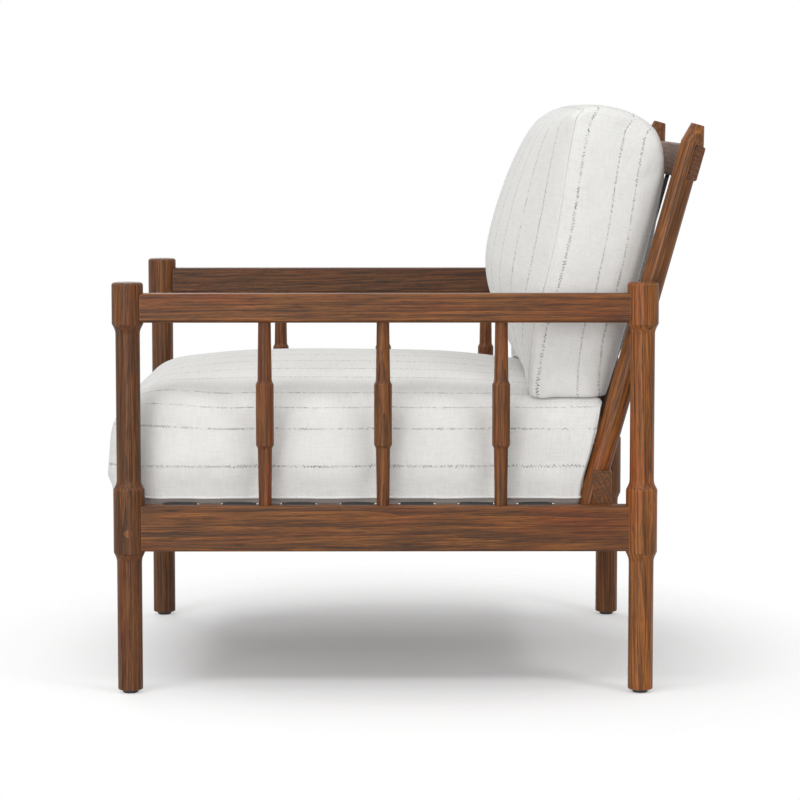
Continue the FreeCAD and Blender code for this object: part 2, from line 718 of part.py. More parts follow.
# Cushions: lofts through sections of lines and arcs
def ring_wire(stretches):
    """A closed wire of stretches of two points, a line, or three points, an arc through them."""
    edges = []
    for stretch in stretches:
        curve = Part.LineSegment(*stretch) if len(stretch) == 2 else Part.Arc(*stretch)
        edges.append(curve.toShape())
    return Part.Wire(edges)


def quarter_round(part):
    """How far a rounded edge has come out, from 0 at its tip to 1 where it ends."""
    return math.sqrt(1 - (1 - min(1.0, max(0.0, part))) ** 2)


def seat_ends():
    """The seat cushion's bottom and edge heights, and its rear end at each of them."""
    bottom = value(f"{RAIL_TOP} + Sizes.cushion_gap")
    edge = bottom + value("Sizes.seat_edge_height")
    rear = value(f"{stile_line(RAIL_TOP)} - {STILE_RADIUS} / cos(Sizes.back_lean) - Sizes.cushion_gap")
    slant = value("Sizes.seat_rear_slant * tan(Sizes.back_lean) * Sizes.seat_edge_height")
    return bottom, edge, rear, rear + slant


def seat_cushion_form(inset):
    """The seat cushion's solid, drawn in by an inset: a front roll, bulged sides and a crown."""
    bottom, edge_top, rear, rear_top = seat_ends()
    front = value(f"{FRONT} - Sizes.seat_overhang") + inset
    widest = value(f"{SIDE} - Sizes.shaft_diameter / 2 - Sizes.seat_side_gap") - inset
    crown_end = rear_top - value("Sizes.seat_crown_fall")
    back_end = rear - inset
    roll, rise = value("Sizes.seat_front_roll"), value("Sizes.seat_crown_rise")
    crown, bulge = value("Sizes.seat_crown"), value("Sizes.seat_side_bulge")
    lift, drop = value("Sizes.seat_front_lift"), value("Sizes.seat_front_drop")
    corner = value("Sizes.seat_corner_round")
    rear_crown = value("Sizes.seat_rear_crown")

    def section(y):
        out = quarter_round((y - front) / roll)
        low = bottom + inset + lift * (1 - out)
        edge = edge_top - inset - drop * (1 - out)
        wide = widest - corner * (1 - out)
        up = math.sin(math.pi / 2 * min(1.0, (y - front) / rise)) ** 1.5
        past = max(0.0, (y - crown_end) / (back_end - crown_end))
        slope = past * (rear_top - rear) / (edge_top - bottom)
        top = edge + max(rear_crown, crown * up * (1 - past ** 2))
        half = wide - bulge
        middle = (low + edge) / 2

        def spot(x, z):
            return FreeCAD.Vector(x, y + slope * (z - bottom), z)

        return ring_wire([
            (spot(-half, low), spot(half, low)),
            (spot(half, low), spot(wide, middle), spot(half, edge)),
            (spot(half, edge), spot(0, top), spot(-half, edge)),
            (spot(-half, edge), spot(-wide, middle), spot(-half, low)),
        ])

    steps = [front + roll * (1 - math.cos(math.radians(turn))) for turn in (0, 22.5, 45, 67.5, 90)]
    steps += [front + roll + (rise - roll) * part for part in (0.3, 0.6, 1.0)]
    steps += [crown_end + (back_end - crown_end) * part for part in (0.0, 0.2, 0.4, 0.6, 0.8, 1.0)]
    return Part.makeLoft([section(y) for y in steps], True, False)


def back_cushion_form(inset):
    """The back cushion's solid, drawn in by an inset: boxed sides, a full front and a rear between the stiles."""
    half = value(f"{SIDE} - Sizes.arm_rail_thickness / 2 - Sizes.back_side_gap") - inset
    slope = value("tan(Sizes.back_lean)")
    stile_front = value(f"{stile_line('0')} - {STILE_RADIUS} / cos(Sizes.back_lean) - Sizes.cushion_gap")
    foot_depth, foot_round = value("Sizes.back_foot_depth"), value("Sizes.back_foot_round")
    boxing, corner = value("Sizes.back_boxing_depth"), value("Sizes.back_corner_round")
    front_crown, rear_crown = value("Sizes.back_front_crown"), value("Sizes.back_rear_crown")
    top = value("Sizes.back_cushion_top")
    stile_inside = value(f"{STILE_ACROSS} - {STILE_RADIUS}")

    # The foot is square to the stiles and clears the seat cushion where its top falls as steeply as that
    seat_bottom, seat_edge, seat_rear, seat_rear_top = seat_ends()
    fall, crown = value("Sizes.seat_crown_fall"), value("Sizes.seat_crown")
    steep = min(1.0, slope * fall / (2 * crown))
    touch_y = seat_rear_top - fall * (1 - steep)
    touch_z = seat_edge + crown * (1 - steep ** 2) + value("Sizes.back_foot_gap")

    def foot_line(y):
        return touch_z + inset - slope * (y - touch_y)

    def rear_line(z):
        return stile_front + slope * z

    heel_z = (touch_z + inset + slope * (touch_y - stile_front)) / (1 + slope ** 2)
    toe_setback, toe_lift = value("Sizes.back_toe_setback"), value("Sizes.back_toe_lift")
    tread_lift = value("Sizes.back_tread_lift")
    shin_z = seat_edge + value("Sizes.back_shin_rise")
    belly_z = seat_edge + value("Sizes.back_belly_rise")
    brow_z, brow_reach = top - value("Sizes.back_brow_drop"), value("Sizes.back_brow_reach")
    shoulder_height = top - value("Sizes.back_shoulder_drop")
    shoulder_reach = value("Sizes.back_shoulder_reach")
    crest_setback, cap_setback = value("Sizes.back_crest_setback"), value("Sizes.back_cap_setback")
    cap_drop, nape_drop = value("Sizes.back_cap_drop"), value("Sizes.back_nape_drop")
    nape_reach, small_gap = value("Sizes.back_nape_reach"), value("Sizes.back_small_gap")
    hip_z, hip_gap = top - value("Sizes.back_hip_drop"), value("Sizes.back_hip_gap")
    side_draw, rear_draw = value("Sizes.back_side_draw"), value("Sizes.back_rear_draw")
    swell_end = stile_inside - value("Sizes.back_stile_margin")

    def section(x):
        out = quarter_round((half - abs(x)) / corner)
        drawn = inset + side_draw * (1 - out)
        leant = inset + rear_draw * (1 - out)
        swell = front_crown * (1 - (abs(x) / half) ** 2.2)
        rear_swell = rear_crown * max(0.0, 1 - (abs(x) / swell_end) ** 2)
        high = top - drawn
        shoulder_z = shoulder_height - drawn

        def spot(y, z):
            return FreeCAD.Vector(x, y, z)

        heel_y = rear_line(heel_z) - leant
        heel = spot(heel_y, foot_line(heel_y))
        front_y = rear_line(heel_z) - foot_depth + drawn
        sole_y = front_y + foot_round
        sole = spot(sole_y, foot_line(sole_y))
        toe_y = front_y + toe_setback + 0.19 * swell
        toe = spot(toe_y, foot_line(toe_y) + toe_lift)
        tread_y = toe_y + 0.3 * (sole_y - toe_y)
        tread = spot(tread_y, foot_line(tread_y) + tread_lift)
        shin = spot(rear_line(shin_z) - boxing - 0.42 * swell + drawn, shin_z)
        belly = spot(rear_line(belly_z) - boxing - swell + drawn, belly_z)
        brow = spot(rear_line(brow_z) - boxing - brow_reach - 0.85 * swell + drawn, brow_z)
        shoulder_y = rear_line(shoulder_z) - boxing - shoulder_reach - 0.45 * swell + drawn
        shoulder = spot(shoulder_y, shoulder_z - 0.1 * swell)
        crest = spot(rear_line(high) - boxing + crest_setback - 0.15 * swell, high)
        cap = spot(rear_line(high) - boxing + cap_setback, high - cap_drop)
        nape = spot(rear_line(high) - nape_reach - drawn, high - nape_drop)
        hip = spot(rear_line(hip_z) - hip_gap - leant, hip_z)
        small = spot(rear_line(belly_z) + rear_swell - small_gap - leant, belly_z)
        return ring_wire([
            (heel, sole),
            (sole, tread, toe),
            (toe, shin, belly),
            (belly, brow, shoulder),
            (shoulder, crest, cap),
            (cap, nape, hip),
            (hip, small, heel),
        ])

    parts = (1.0, 0.975, 0.9, 0.7, 0.38, 0.0)
    steps = [-half * part for part in parts] + [half * part for part in reversed(parts[:-1])]
    return Part.makeLoft([section(x) for x in steps], True, False)


def make_cushion(name, form):
    """A cushion's cover, as a closed skin, and the core that fills it."""
    skin = value("Sizes.cover_thickness")
    room = value("Sizes.core_gap")
    cover = doc.addObject("Part::Feature", f"{name}_cover")
    cover.Shape = form(0.0).cut(form(skin))
    core = doc.addObject("Part::Feature", f"{name}_core")
    core.Shape = form(skin + room)
    return keep(cover), keep(core)


# The chair, piece by piece
bolts, bolt_plugs, nuts, nut_holes, bolt_holes = [], [], [], [], []
foot_screws, post_screws, top_screws, screw_plugs = [], [], [], []
rear_rail_holes, top_rail_holes = [], []

for side_name, side in SIDES.items():
    gap = "Sizes.joint_gap"

    front_blank = make_post_blank(f"front_blank_{side_name}", side, "front")
    bolt = make_bolt(f"bolt_{side_name}", side, front_blank)
    bolts.append(bolt["bolt"])
    bolt_plugs.append(bolt["plug"])
    nuts.append(bolt["nut"])
    bolt_holes += [bolt["hole"], bolt["nut_hole"]]
    mortise = front_tenon(f"front_mortise_{side_name}", side, gap)
    keep(make_post(f"front_post_{side_name}", side, "front", front_blank, [bolt["hole"], mortise]))

    stile_blank = make_stile_blank(f"stile_blank_{side_name}", side)
    across = f"{side} * {STILE_ACROSS}"
    inside_way = "right" if side > 0 else "left"

    def post_screw_spot(depth):
        x = f"{side} * ({STILE_ACROSS} - {STILE_RADIUS} + {depth})"
        height = f"({ARM_LOW} + Sizes.post_screw_rise)"
        return x, stile_line(height), height

    screw, plug, post_hole = screw_set(
        f"post_fix_{side_name}", post_screw_spot, inside_way, "Sizes.post_screw_length")
    post_screws.append(screw)
    screw_plugs.append(overlap(f"post_fix_{side_name}_flush", plug, stile_blank))

    foot_holes = []
    foot_levels = {
        "low": "Sizes.seat_rail_bottom + Sizes.foot_screw_rise",
        "high": f"{REAR_RAIL_TOP} - Sizes.foot_screw_drop",
    }
    for level, height in foot_levels.items():
        def foot_screw_spot(depth):
            return across, f"{REAR_RAIL_BACK} - ({depth})", height

        screw, plug, hole = screw_set(
            f"foot_fix_{side_name}_{level}", foot_screw_spot, "front", "Sizes.foot_screw_length")
        foot_screws.append(screw)
        screw_plugs.append(plug)
        foot_holes.append(hole)
    rear_rail_holes += foot_holes

    top_holes = []
    for level, sign in (("low", -1), ("high", 1)):
        def top_screw_spot(depth):
            middle = f"({TOP_RAIL_LOWER} + {TOP_RAIL_UPPER}) / 2"
            along = f"{middle} + {sign} * Sizes.top_screw_spread / 2"
            return on_back(across, f"Sizes.top_rail_behind - ({depth})", along)

        screw, plug, hole = screw_set(
            f"top_fix_{side_name}_{level}", top_screw_spot, "lean_front", "Sizes.top_screw_length")
        top_screws.append(screw)
        screw_plugs.append(plug)
        top_holes.append(hole)
    top_rail_holes += top_holes

    notch = top_rail_room(f"stile_notch_{side_name}", side)
    keep(cut(f"back_stile_{side_name}", stile_blank, [notch, post_hole] + foot_holes + top_holes))

    rear_blank = make_post_blank(f"rear_blank_{side_name}", side, "rear")
    housing = stile_room(f"stile_housing_{side_name}", side)
    keep(make_post(f"rear_post_{side_name}", side, "rear", rear_blank, [housing, post_hole]))

    for end in ("front", "rear"):
        keep(make_glide(f"foot_glide_{end}_{side_name}", side, end))

    seat_tools = spindle_holes(f"side_rail_{side_name}", side, f"{RAIL_TOP} - Sizes.spindle_tenon_length - {gap}",
                               RAIL_TOP)
    seat_tools += strap_recesses(f"side_rail_{side_name}", side)
    seat_tools.append(rear_tenon(f"rear_mortise_{side_name}", side, gap))
    keep(make_long_rail(f"side_rail_{side_name}", side, "seat_rail", "Sizes.seat_rail_bottom", seat_tools))

    arm_tools = spindle_holes(f"arm_rail_{side_name}", side, ARM_LOW,
                              f"{ARM_LOW} + Sizes.spindle_tenon_length + {gap}")
    keep(make_long_rail(f"arm_rail_{side_name}", side, "arm_rail", ARM_LOW, arm_tools))

    for step_name, step in SPINDLES.items():
        keep(make_spindle(f"spindle_{side_name}_{step_name}", side, step))

keep(make_front_rail("front_rail", bolt_holes))
keep(make_rear_rail("rear_rail", rear_rail_holes))
keep(make_top_rail("top_rail", top_rail_holes))
for number in range(SEAT_STRAPS):
    keep(make_seat_strap(f"seat_strap_{number + 1}", number))
for number in range(BACK_STRAPS):
    keep(make_back_strap(f"back_strap_{number + 1}", number))
keep(group("front_rail_bolts", bolts))
keep(group("front_rail_nuts", nuts))
keep(group("front_post_plugs", bolt_plugs))
keep(group("stile_foot_screws", foot_screws))
keep(group("stile_post_screws", post_screws))
keep(group("top_rail_screws", top_screws))
keep(group("screw_plugs", screw_plugs))
make_cushion("seat_cushion", seat_cushion_form)
make_cushion("back_cushion", back_cushion_form)

doc.recompute()
for item in doc.Objects:
    if {"Invalid", "Error"} & set(item.State):
        raise RuntimeError(f"{item.Label} failed: {item.State}")
for item in pieces:
    if item.Shape.isNull() or not item.Shape.isValid():
        raise RuntimeError(f"{item.Label} has no valid shape")

os.makedirs("parts", exist_ok=True)
for item in pieces:
    item.Shape.exportStep(f"parts/{item.Label}.step")
    print(f"{item.Label}: {len(item.Shape.Solids)} solid, {item.Shape.Volume / 1000:.1f} cm3")
print(f"{len(pieces)} pieces")
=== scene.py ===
# %% [markdown]
# This lesson dresses a teak lounge chair: an open frame of turned posts, spindles and rails, with a
# loose seat cushion and a loose back cushion. The hard pieces come ready-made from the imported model.
# They could be drawn again by hand, but keeping them means every joint already meets. The lesson adds
# what a solid lacks: wood, woven straps, and cushions that are sewn and filled.

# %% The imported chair
import math
import bpy
import numpy as np
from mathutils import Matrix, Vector
from mathutils.bvhtree import BVHTree


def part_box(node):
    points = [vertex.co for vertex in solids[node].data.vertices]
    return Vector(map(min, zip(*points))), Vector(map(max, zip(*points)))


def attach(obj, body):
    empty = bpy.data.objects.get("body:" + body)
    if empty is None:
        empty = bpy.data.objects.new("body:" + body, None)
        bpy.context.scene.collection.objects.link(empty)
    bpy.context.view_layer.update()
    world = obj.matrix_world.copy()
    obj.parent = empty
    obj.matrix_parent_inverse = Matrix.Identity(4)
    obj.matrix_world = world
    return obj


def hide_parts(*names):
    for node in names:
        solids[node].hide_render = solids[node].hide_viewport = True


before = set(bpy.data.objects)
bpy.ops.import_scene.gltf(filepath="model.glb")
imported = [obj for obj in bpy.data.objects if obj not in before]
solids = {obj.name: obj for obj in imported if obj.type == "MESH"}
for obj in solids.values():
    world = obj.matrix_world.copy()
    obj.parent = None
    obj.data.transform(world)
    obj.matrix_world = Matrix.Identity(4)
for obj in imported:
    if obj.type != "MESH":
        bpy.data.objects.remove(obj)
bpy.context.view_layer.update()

# %% [markdown]
# The photograph shows the chair square from its left side, from far away with a long lens. The camera
# could be placed by eye, but the heights at which near and far rails line up give its distance and
# height. It looks a little downwards at the middle of the chair, so no lens shift is needed.

# %% Camera
EYE = Vector((4.810, -0.0235, 0.871))
LOOKED_AT = Vector((0.0, -0.0002, 0.403))
LENS = 136.6
SENSOR = 36.0

camera_data = bpy.data.cameras.new("side_camera")
camera_data.lens = LENS
camera_data.sensor_width = SENSOR
camera = bpy.data.objects.new("side_camera", camera_data)
camera.location = EYE
camera.rotation_euler = (LOOKED_AT - EYE).to_track_quat("-Z", "Y").to_euler()
bpy.context.scene.collection.objects.link(camera)
bpy.context.scene.camera = camera
print("camera stands", round((LOOKED_AT - EYE).length, 3), "m away")

# %% [markdown]
# Every finish below is a small network of shader nodes. Adding nodes one call at a time is long-winded,
# so a few helpers do it: they add a node and fill or link its sockets, do arithmetic, mix two colours,
# stretch a range of numbers, and turn numbers into colours.

# %% Helpers for finishes
MIX_COLOUR_A = 6
MIX_COLOUR_B = 7
MIX_COLOUR_OUT = 2


def fill(tree, socket, given):
    if isinstance(given, bpy.types.NodeSocket):
        tree.links.new(given, socket)
    elif given is not None:
        socket.default_value = given


def add(tree, kind, sockets=None, **settings):
    made = tree.nodes.new("ShaderNode" + kind)
    for name, setting in settings.items():
        setattr(made, name, setting)
    for name, given in (sockets or {}).items():
        fill(tree, made.inputs[name], given)
    return made


def sum_up(tree, operation, first, second=None, third=None):
    made = tree.nodes.new("ShaderNodeMath")
    made.operation = operation
    for place, given in enumerate((first, second, third)):
        fill(tree, made.inputs[place], given)
    return made.outputs[0]


def mixed(tree, share, first, second, mode="MIX"):
    made = tree.nodes.new("ShaderNodeMix")
    made.data_type = "RGBA"
    made.blend_type = mode
    fill(tree, made.inputs[0], share)
    fill(tree, made.inputs[MIX_COLOUR_A], first)
    fill(tree, made.inputs[MIX_COLOUR_B], second)
    return made.outputs[MIX_COLOUR_OUT]


def ranged(tree, given, low, high, to_low=0.0, to_high=1.0):
    made = add(tree, "MapRange", {0: given, 1: low, 2: high, 3: to_low, 4: to_high})
    return made.outputs[0]


def ramp(tree, given, stops):
    made = add(tree, "ValToRGB", {0: given})
    line = made.color_ramp
    while len(line.elements) < len(stops):
        line.elements.new(1.0)
    for element, (place, colour) in zip(line.elements, stops):
        element.position = place
        element.color = (*colour, 1.0)
    return made.outputs[0]


def new_finish(name):
    finish = bpy.data.materials.new(name)
    finish.use_nodes = True
    tree = finish.node_tree
    return finish, tree, tree.nodes["Principled BSDF"]


print("finish helpers ready")

# %% [markdown]
# The chair stands on a white studio sweep with a soft shadow under it. A huge white room would do, but
# a floor disc that fades into a white background gives the same picture and keeps the shadow. The
# background is white only to the eye and to reflections; what lights the chair is a softer grey sky and
# five soft lamps. The two smaller lamps stand high on the near side, so that the arm rail and spindles
# throw soft arches of shade on the seat.

# %% Floor
FLOOR_RADIUS = 7.0
FLOOR_SIDES = 96
FLOOR_FADE_START = 0.34
FLOOR_FADE_END = 0.74
FLOOR_OVAL = (0.8, 1.0, 1.0)
FLOOR_COLOUR = (0.96, 0.96, 0.96, 1.0)
FLOOR_GLOW = 0.075

bpy.ops.mesh.primitive_circle_add(vertices=FLOOR_SIDES, radius=FLOOR_RADIUS, fill_type="NGON")
floor = bpy.context.object
floor.name = "studio_floor"
paper, tree, shader = new_finish("studio_paper")
shader.inputs["Base Color"].default_value = FLOOR_COLOUR
shader.inputs["Roughness"].default_value = 0.9
shader.inputs["Specular IOR Level"].default_value = 0.0
place = add(tree, "TexCoord").outputs["Object"]
oval = add(tree, "VectorMath", {0: place, 1: FLOOR_OVAL}, operation="MULTIPLY").outputs[0]
distance = add(tree, "VectorMath", {0: oval}, operation="LENGTH").outputs["Value"]
fade = ranged(tree, distance, FLOOR_FADE_START, FLOOR_FADE_END)
glow = add(tree, "Emission", {"Color": (1.0, 1.0, 1.0, 1.0)})
looked_at = sum_up(tree, "MULTIPLY", add(tree, "LightPath").outputs["Is Camera Ray"], FLOOR_GLOW)
tree.links.new(looked_at, glow.inputs["Strength"])
lit = add(tree, "AddShader", {0: shader.outputs[0], 1: glow.outputs[0]})
clear = add(tree, "BsdfTransparent").outputs[0]
sweep = add(tree, "MixShader", {0: fade, 1: lit.outputs[0], 2: clear})
tree.links.new(sweep.outputs[0], tree.nodes["Material Output"].inputs["Surface"])
floor.data.materials.append(paper)
print("floor fades out", FLOOR_FADE_END, "m from the middle")

# %% Light
SKY_STRENGTH = 0.51
LAMPS = {
    "overhead_lamp": ((0.3, -0.2, 3.0), (0.0, 0.0, 0.3), 2.6, 16.0),
    "near_front_lamp": ((1.9, -1.8, 2.9), (0.0, 0.0, 0.4), 0.7, 17.0),
    "near_rear_lamp": ((1.9, 1.8, 2.9), (0.0, 0.0, 0.4), 0.7, 17.0),
    "camera_side_lamp": ((3.5, -1.0, 1.1), (0.0, 0.0, 0.4), 2.4, 62.0),
    "far_side_lamp": ((-2.8, -1.2, 2.0), (0.0, 0.0, 0.4), 1.8, 20.0),
}

world = bpy.data.worlds.new("studio")
world.use_nodes = True
bpy.context.scene.world = world
tree = world.node_tree
tree.nodes.clear()
path = add(tree, "LightPath")
seen = sum_up(tree, "MAXIMUM", path.outputs["Is Camera Ray"], path.outputs["Is Glossy Ray"])
seen = sum_up(tree, "MAXIMUM", seen, path.outputs["Is Transmission Ray"])
white = add(tree, "Background", {"Color": (1.0, 1.0, 1.0, 1.0), "Strength": 1.0})
sky = add(tree, "Background", {"Color": (1.0, 1.0, 1.0, 1.0), "Strength": SKY_STRENGTH})
either = add(tree, "MixShader", {0: seen, 1: sky.outputs[0], 2: white.outputs[0]})
world_out = tree.nodes.new("ShaderNodeOutputWorld")
tree.links.new(either.outputs[0], world_out.inputs["Surface"])
for name, (spot, target, size, power) in LAMPS.items():
    lamp_data = bpy.data.lights.new(name, "AREA")
    lamp_data.size = size
    lamp_data.energy = power
    lamp = bpy.data.objects.new(name, lamp_data)
    lamp.location = spot
    lamp.rotation_euler = (Vector(target) - Vector(spot)).to_track_quat("-Z", "Y").to_euler()
    bpy.context.scene.collection.objects.link(lamp)
bpy.context.scene.view_settings.view_transform = "Standard"
print(len(LAMPS), "soft lamps")

# %% [markdown]
# Teak is an oily brown wood with straight dark lines, redder patches and open pores. Wood could be
# painted from a picture, but a solid pattern follows the cut of each piece by itself: growth rings
# round a heart that lies outside the piece, then long fibres, then pores. Each piece is turned so that
# its grain runs along it and is shifted to its own place in the tree, and ends of the grain come out
# darker, as they drink more oil.

# %% Teak
LEAN = math.radians(15.6)
UPRIGHT = Vector((0.0, 0.0, 1.0))
ALONG_SIDE = Vector((0.0, 1.0, 0.0))
ACROSS = Vector((1.0, 0.0, 0.0))
LEANING = Vector((0.0, math.sin(LEAN), math.cos(LEAN)))
TEAK_STOPS = [
    (0.10, (0.022, 0.0078, 0.0020)),
    (0.34, (0.076, 0.0250, 0.0046)),
    (0.56, (0.152, 0.0510, 0.0086)),
    (0.80, (0.245, 0.0850, 0.0150)),
    (1.00, (0.340, 0.1320, 0.0290)),
]
TEAK_RED = (0.300, 0.0820, 0.0220, 1.0)
TEAK_PORE = (0.018, 0.0085, 0.0050, 1.0)
TEAK_END = (0.070, 0.0350, 0.0200, 1.0)
TEAK_WORN = (0.300, 0.1700, 0.0950, 1.0)
RING_SCALE = 46.0
RING_SHARE = 0.17
BAND_SHARE = 0.46
FIBRE_SHARE = 0.80
BROAD_SHARE = 0.30
FIGURE_RANGE = (0.57, 1.16)
RED_PATCHES = (0.46, 0.72, 0.0, 0.55)
OPEN_PORES = (0.60, 0.70, 0.0, 0.75)
END_GRAIN = (0.80, 0.97, 0.0, 0.22)
WORN_EDGES = (0.995, 0.90, 0.0, 0.34)
WORN_RADIUS = 0.003
TEAK_ROUGHNESS = (0.3, 0.7, 0.58, 0.42)


def teak(name, run, seed, tone):
    pick = np.random.default_rng(seed)
    finish, tree, shader = new_finish("teak_" + name)
    skew = Vector((pick.uniform(-0.03, 0.03), pick.uniform(-0.03, 0.03), 1.0)).normalized()
    turn = run.rotation_difference(skew).to_euler()
    heart = (pick.uniform(0.05, 0.11), pick.uniform(-0.06, 0.06), pick.uniform(-3.0, 3.0))
    place = add(tree, "TexCoord")
    turned = {"Vector": place.outputs["Object"], "Location": heart, "Rotation": turn}
    log = add(tree, "Mapping", turned).outputs[0]

    def drawn_out(amount):
        return add(tree, "VectorMath", {0: log, 1: (1.0, 1.0, amount)}, operation="MULTIPLY").outputs[0]

    def streaks(amount, scale, detail, roughness=0.6):
        sockets = {"Vector": drawn_out(amount), "Scale": scale, "Detail": detail, "Roughness": roughness}
        return add(tree, "TexNoise", sockets).outputs[0]

    rings = add(
        tree,
        "TexWave",
        {
            "Vector": drawn_out(0.06),
            "Scale": RING_SCALE,
            "Distortion": 9.0,
            "Detail": 3.0,
            "Detail Scale": 0.45,
            "Detail Roughness": 0.62,
        },
        wave_type="RINGS",
        rings_direction="Z",
        wave_profile="SAW",
    ).outputs["Fac"]
    broad = streaks(0.22, 22.0, 2.0)
    bands = streaks(0.030, 230.0, 3.0)
    fibres = streaks(0.022, 560.0, 4.0, 0.70)
    pores = streaks(0.030, 1050.0, 1.0)
    figure = sum_up(tree, "MULTIPLY", rings, RING_SHARE)
    figure = sum_up(tree, "MULTIPLY_ADD", bands, BAND_SHARE, figure)
    figure = sum_up(tree, "MULTIPLY_ADD", fibres, FIBRE_SHARE, figure)
    figure = sum_up(tree, "MULTIPLY_ADD", broad, BROAD_SHARE, figure)
    figure = ranged(tree, figure, *FIGURE_RANGE)
    colour = ramp(tree, figure, TEAK_STOPS)
    reddish = ranged(tree, broad, *RED_PATCHES)
    colour = mixed(tree, reddish, colour, mixed(tree, 1.0, colour, TEAK_RED, "OVERLAY"))
    open_pores = ranged(tree, pores, *OPEN_PORES)
    colour = mixed(tree, open_pores, colour, TEAK_PORE)
    facing = add(tree, "VectorMath", {0: place.outputs["Normal"], 1: run}, operation="DOT_PRODUCT")
    end_on = sum_up(tree, "ABSOLUTE", facing.outputs["Value"])
    end_grain = ranged(tree, end_on, *END_GRAIN)
    colour = mixed(tree, end_grain, colour, TEAK_END)
    rounded = add(tree, "Bevel", {"Radius": WORN_RADIUS}, samples=4).outputs[0]
    flat = add(tree, "NewGeometry").outputs["Normal"]
    alike = add(tree, "VectorMath", {0: rounded, 1: flat}, operation="DOT_PRODUCT").outputs["Value"]
    edges = ranged(tree, alike, *WORN_EDGES)
    worn = sum_up(tree, "MULTIPLY", edges, fibres)
    colour = mixed(tree, worn, colour, TEAK_WORN)
    shade = add(tree, "HueSaturation", {"Value": tone, "Color": colour}).outputs[0]
    tree.links.new(shade, shader.inputs["Base Color"])
    tree.links.new(ranged(tree, fibres, *TEAK_ROUGHNESS), shader.inputs["Roughness"])
    shader.inputs["Specular IOR Level"].default_value = 0.32
    relief = sum_up(tree, "MULTIPLY_ADD", open_pores, -0.8, fibres)
    bump = add(tree, "Bump", {"Height": relief, "Strength": 0.35, "Distance": 0.0006})
    tree.links.new(bump.outputs[0], shader.inputs["Normal"])
    return finish


def dress(node, finish):
    mesh = solids[node].data
    mesh.materials.clear()
    mesh.materials.append(finish)


GRAIN_RUNS = {
    "front_post_": UPRIGHT,
    "rear_post_": UPRIGHT,
    "spindle_": UPRIGHT,
    "back_stile_": LEANING,
    "side_rail_": ALONG_SIDE,
    "arm_rail_": ALONG_SIDE,
    "front_rail": ACROSS,
    "rear_rail": ACROSS,
    "top_rail": ACROSS,
}
HARDWARE_WORDS = ("bolts", "nuts", "screws", "plugs")
BOARD_TONES = {
    "rear_post_left": 1.70,
    "back_stile_left": 1.50,
    "back_stile_right": 1.10,
    "front_post_left": 0.80,
    "arm_rail_right": 0.60,
    "front_post_right": 0.90,
    "rear_post_right": 0.90,
    "top_rail": 0.85,
}
TONE_SWING = 0.05
TONE_STEP = 2.4
PLUG_TONE = 1.3
BOARD_SEED = 40
PLUG_SEED = 90

wooden = []
for node in sorted(solids):
    for start, run in GRAIN_RUNS.items():
        if node.startswith(start) and not node.endswith(HARDWARE_WORDS):
            wooden.append((node, run))
for number, (node, run) in enumerate(wooden):
    tone = BOARD_TONES.get(node, 1.0) * (1.0 + TONE_SWING * math.sin(TONE_STEP * number))
    dress(node, teak(node, run, BOARD_SEED + number, tone))
for number, node in enumerate(("front_post_plugs", "screw_plugs")):
    dress(node, teak(node, UPRIGHT, PLUG_SEED + number, PLUG_TONE))
print(len(wooden), "teak pieces")

# %% [markdown]
# The straps are black elastic webbing, woven with ribs along their length and finer rows across. The
# ribs could be modelled, but they are under a millimetre deep, so a bump does it. The glides under the
# legs are black moulded plastic, scuffed by floors, and the hidden screws and bolts are dull
# zinc-coated steel.

# %% Webbing, glides and fasteners
RIB_PITCH = 0.0032
PICK_PITCH = 0.0018
WEB_STOPS = [(0.0, (0.006, 0.006, 0.007)), (1.0, (0.030, 0.029, 0.030))]
GLIDE_DARK = (0.008, 0.008, 0.009)
GLIDE_LIGHT = (0.030, 0.030, 0.032)
STEEL_DARK = (0.33, 0.33, 0.34)
STEEL_LIGHT = (0.55, 0.55, 0.55)


def webbing(name, across, along):
    finish, tree, shader = new_finish(name)
    place = add(tree, "TexCoord").outputs["Object"]

    def rows(direction, pitch):
        reach = add(tree, "VectorMath", {0: place, 1: direction}, operation="DOT_PRODUCT").outputs["Value"]
        return sum_up(tree, "SINE", sum_up(tree, "MULTIPLY", reach, 2.0 * math.pi / pitch))

    ribs = rows(across, RIB_PITCH)
    picks = rows(along, PICK_PITCH)
    fuzz = add(tree, "TexNoise", {"Vector": place, "Scale": 420.0, "Detail": 3.0}).outputs[0]
    weave = sum_up(tree, "MULTIPLY_ADD", sum_up(tree, "MULTIPLY", ribs, picks), 0.35, ribs)
    height = sum_up(tree, "MULTIPLY_ADD", fuzz, 0.6, weave)
    colour = ramp(tree, ranged(tree, height, -1.0, 1.6), WEB_STOPS)
    tree.links.new(colour, shader.inputs["Base Color"])
    tree.links.new(ranged(tree, fuzz, 0.3, 0.7, 0.75, 0.95), shader.inputs["Roughness"])
    bump = add(tree, "Bump", {"Height": height, "Strength": 0.5, "Distance": 0.0005})
    tree.links.new(bump.outputs[0], shader.inputs["Normal"])
    return finish


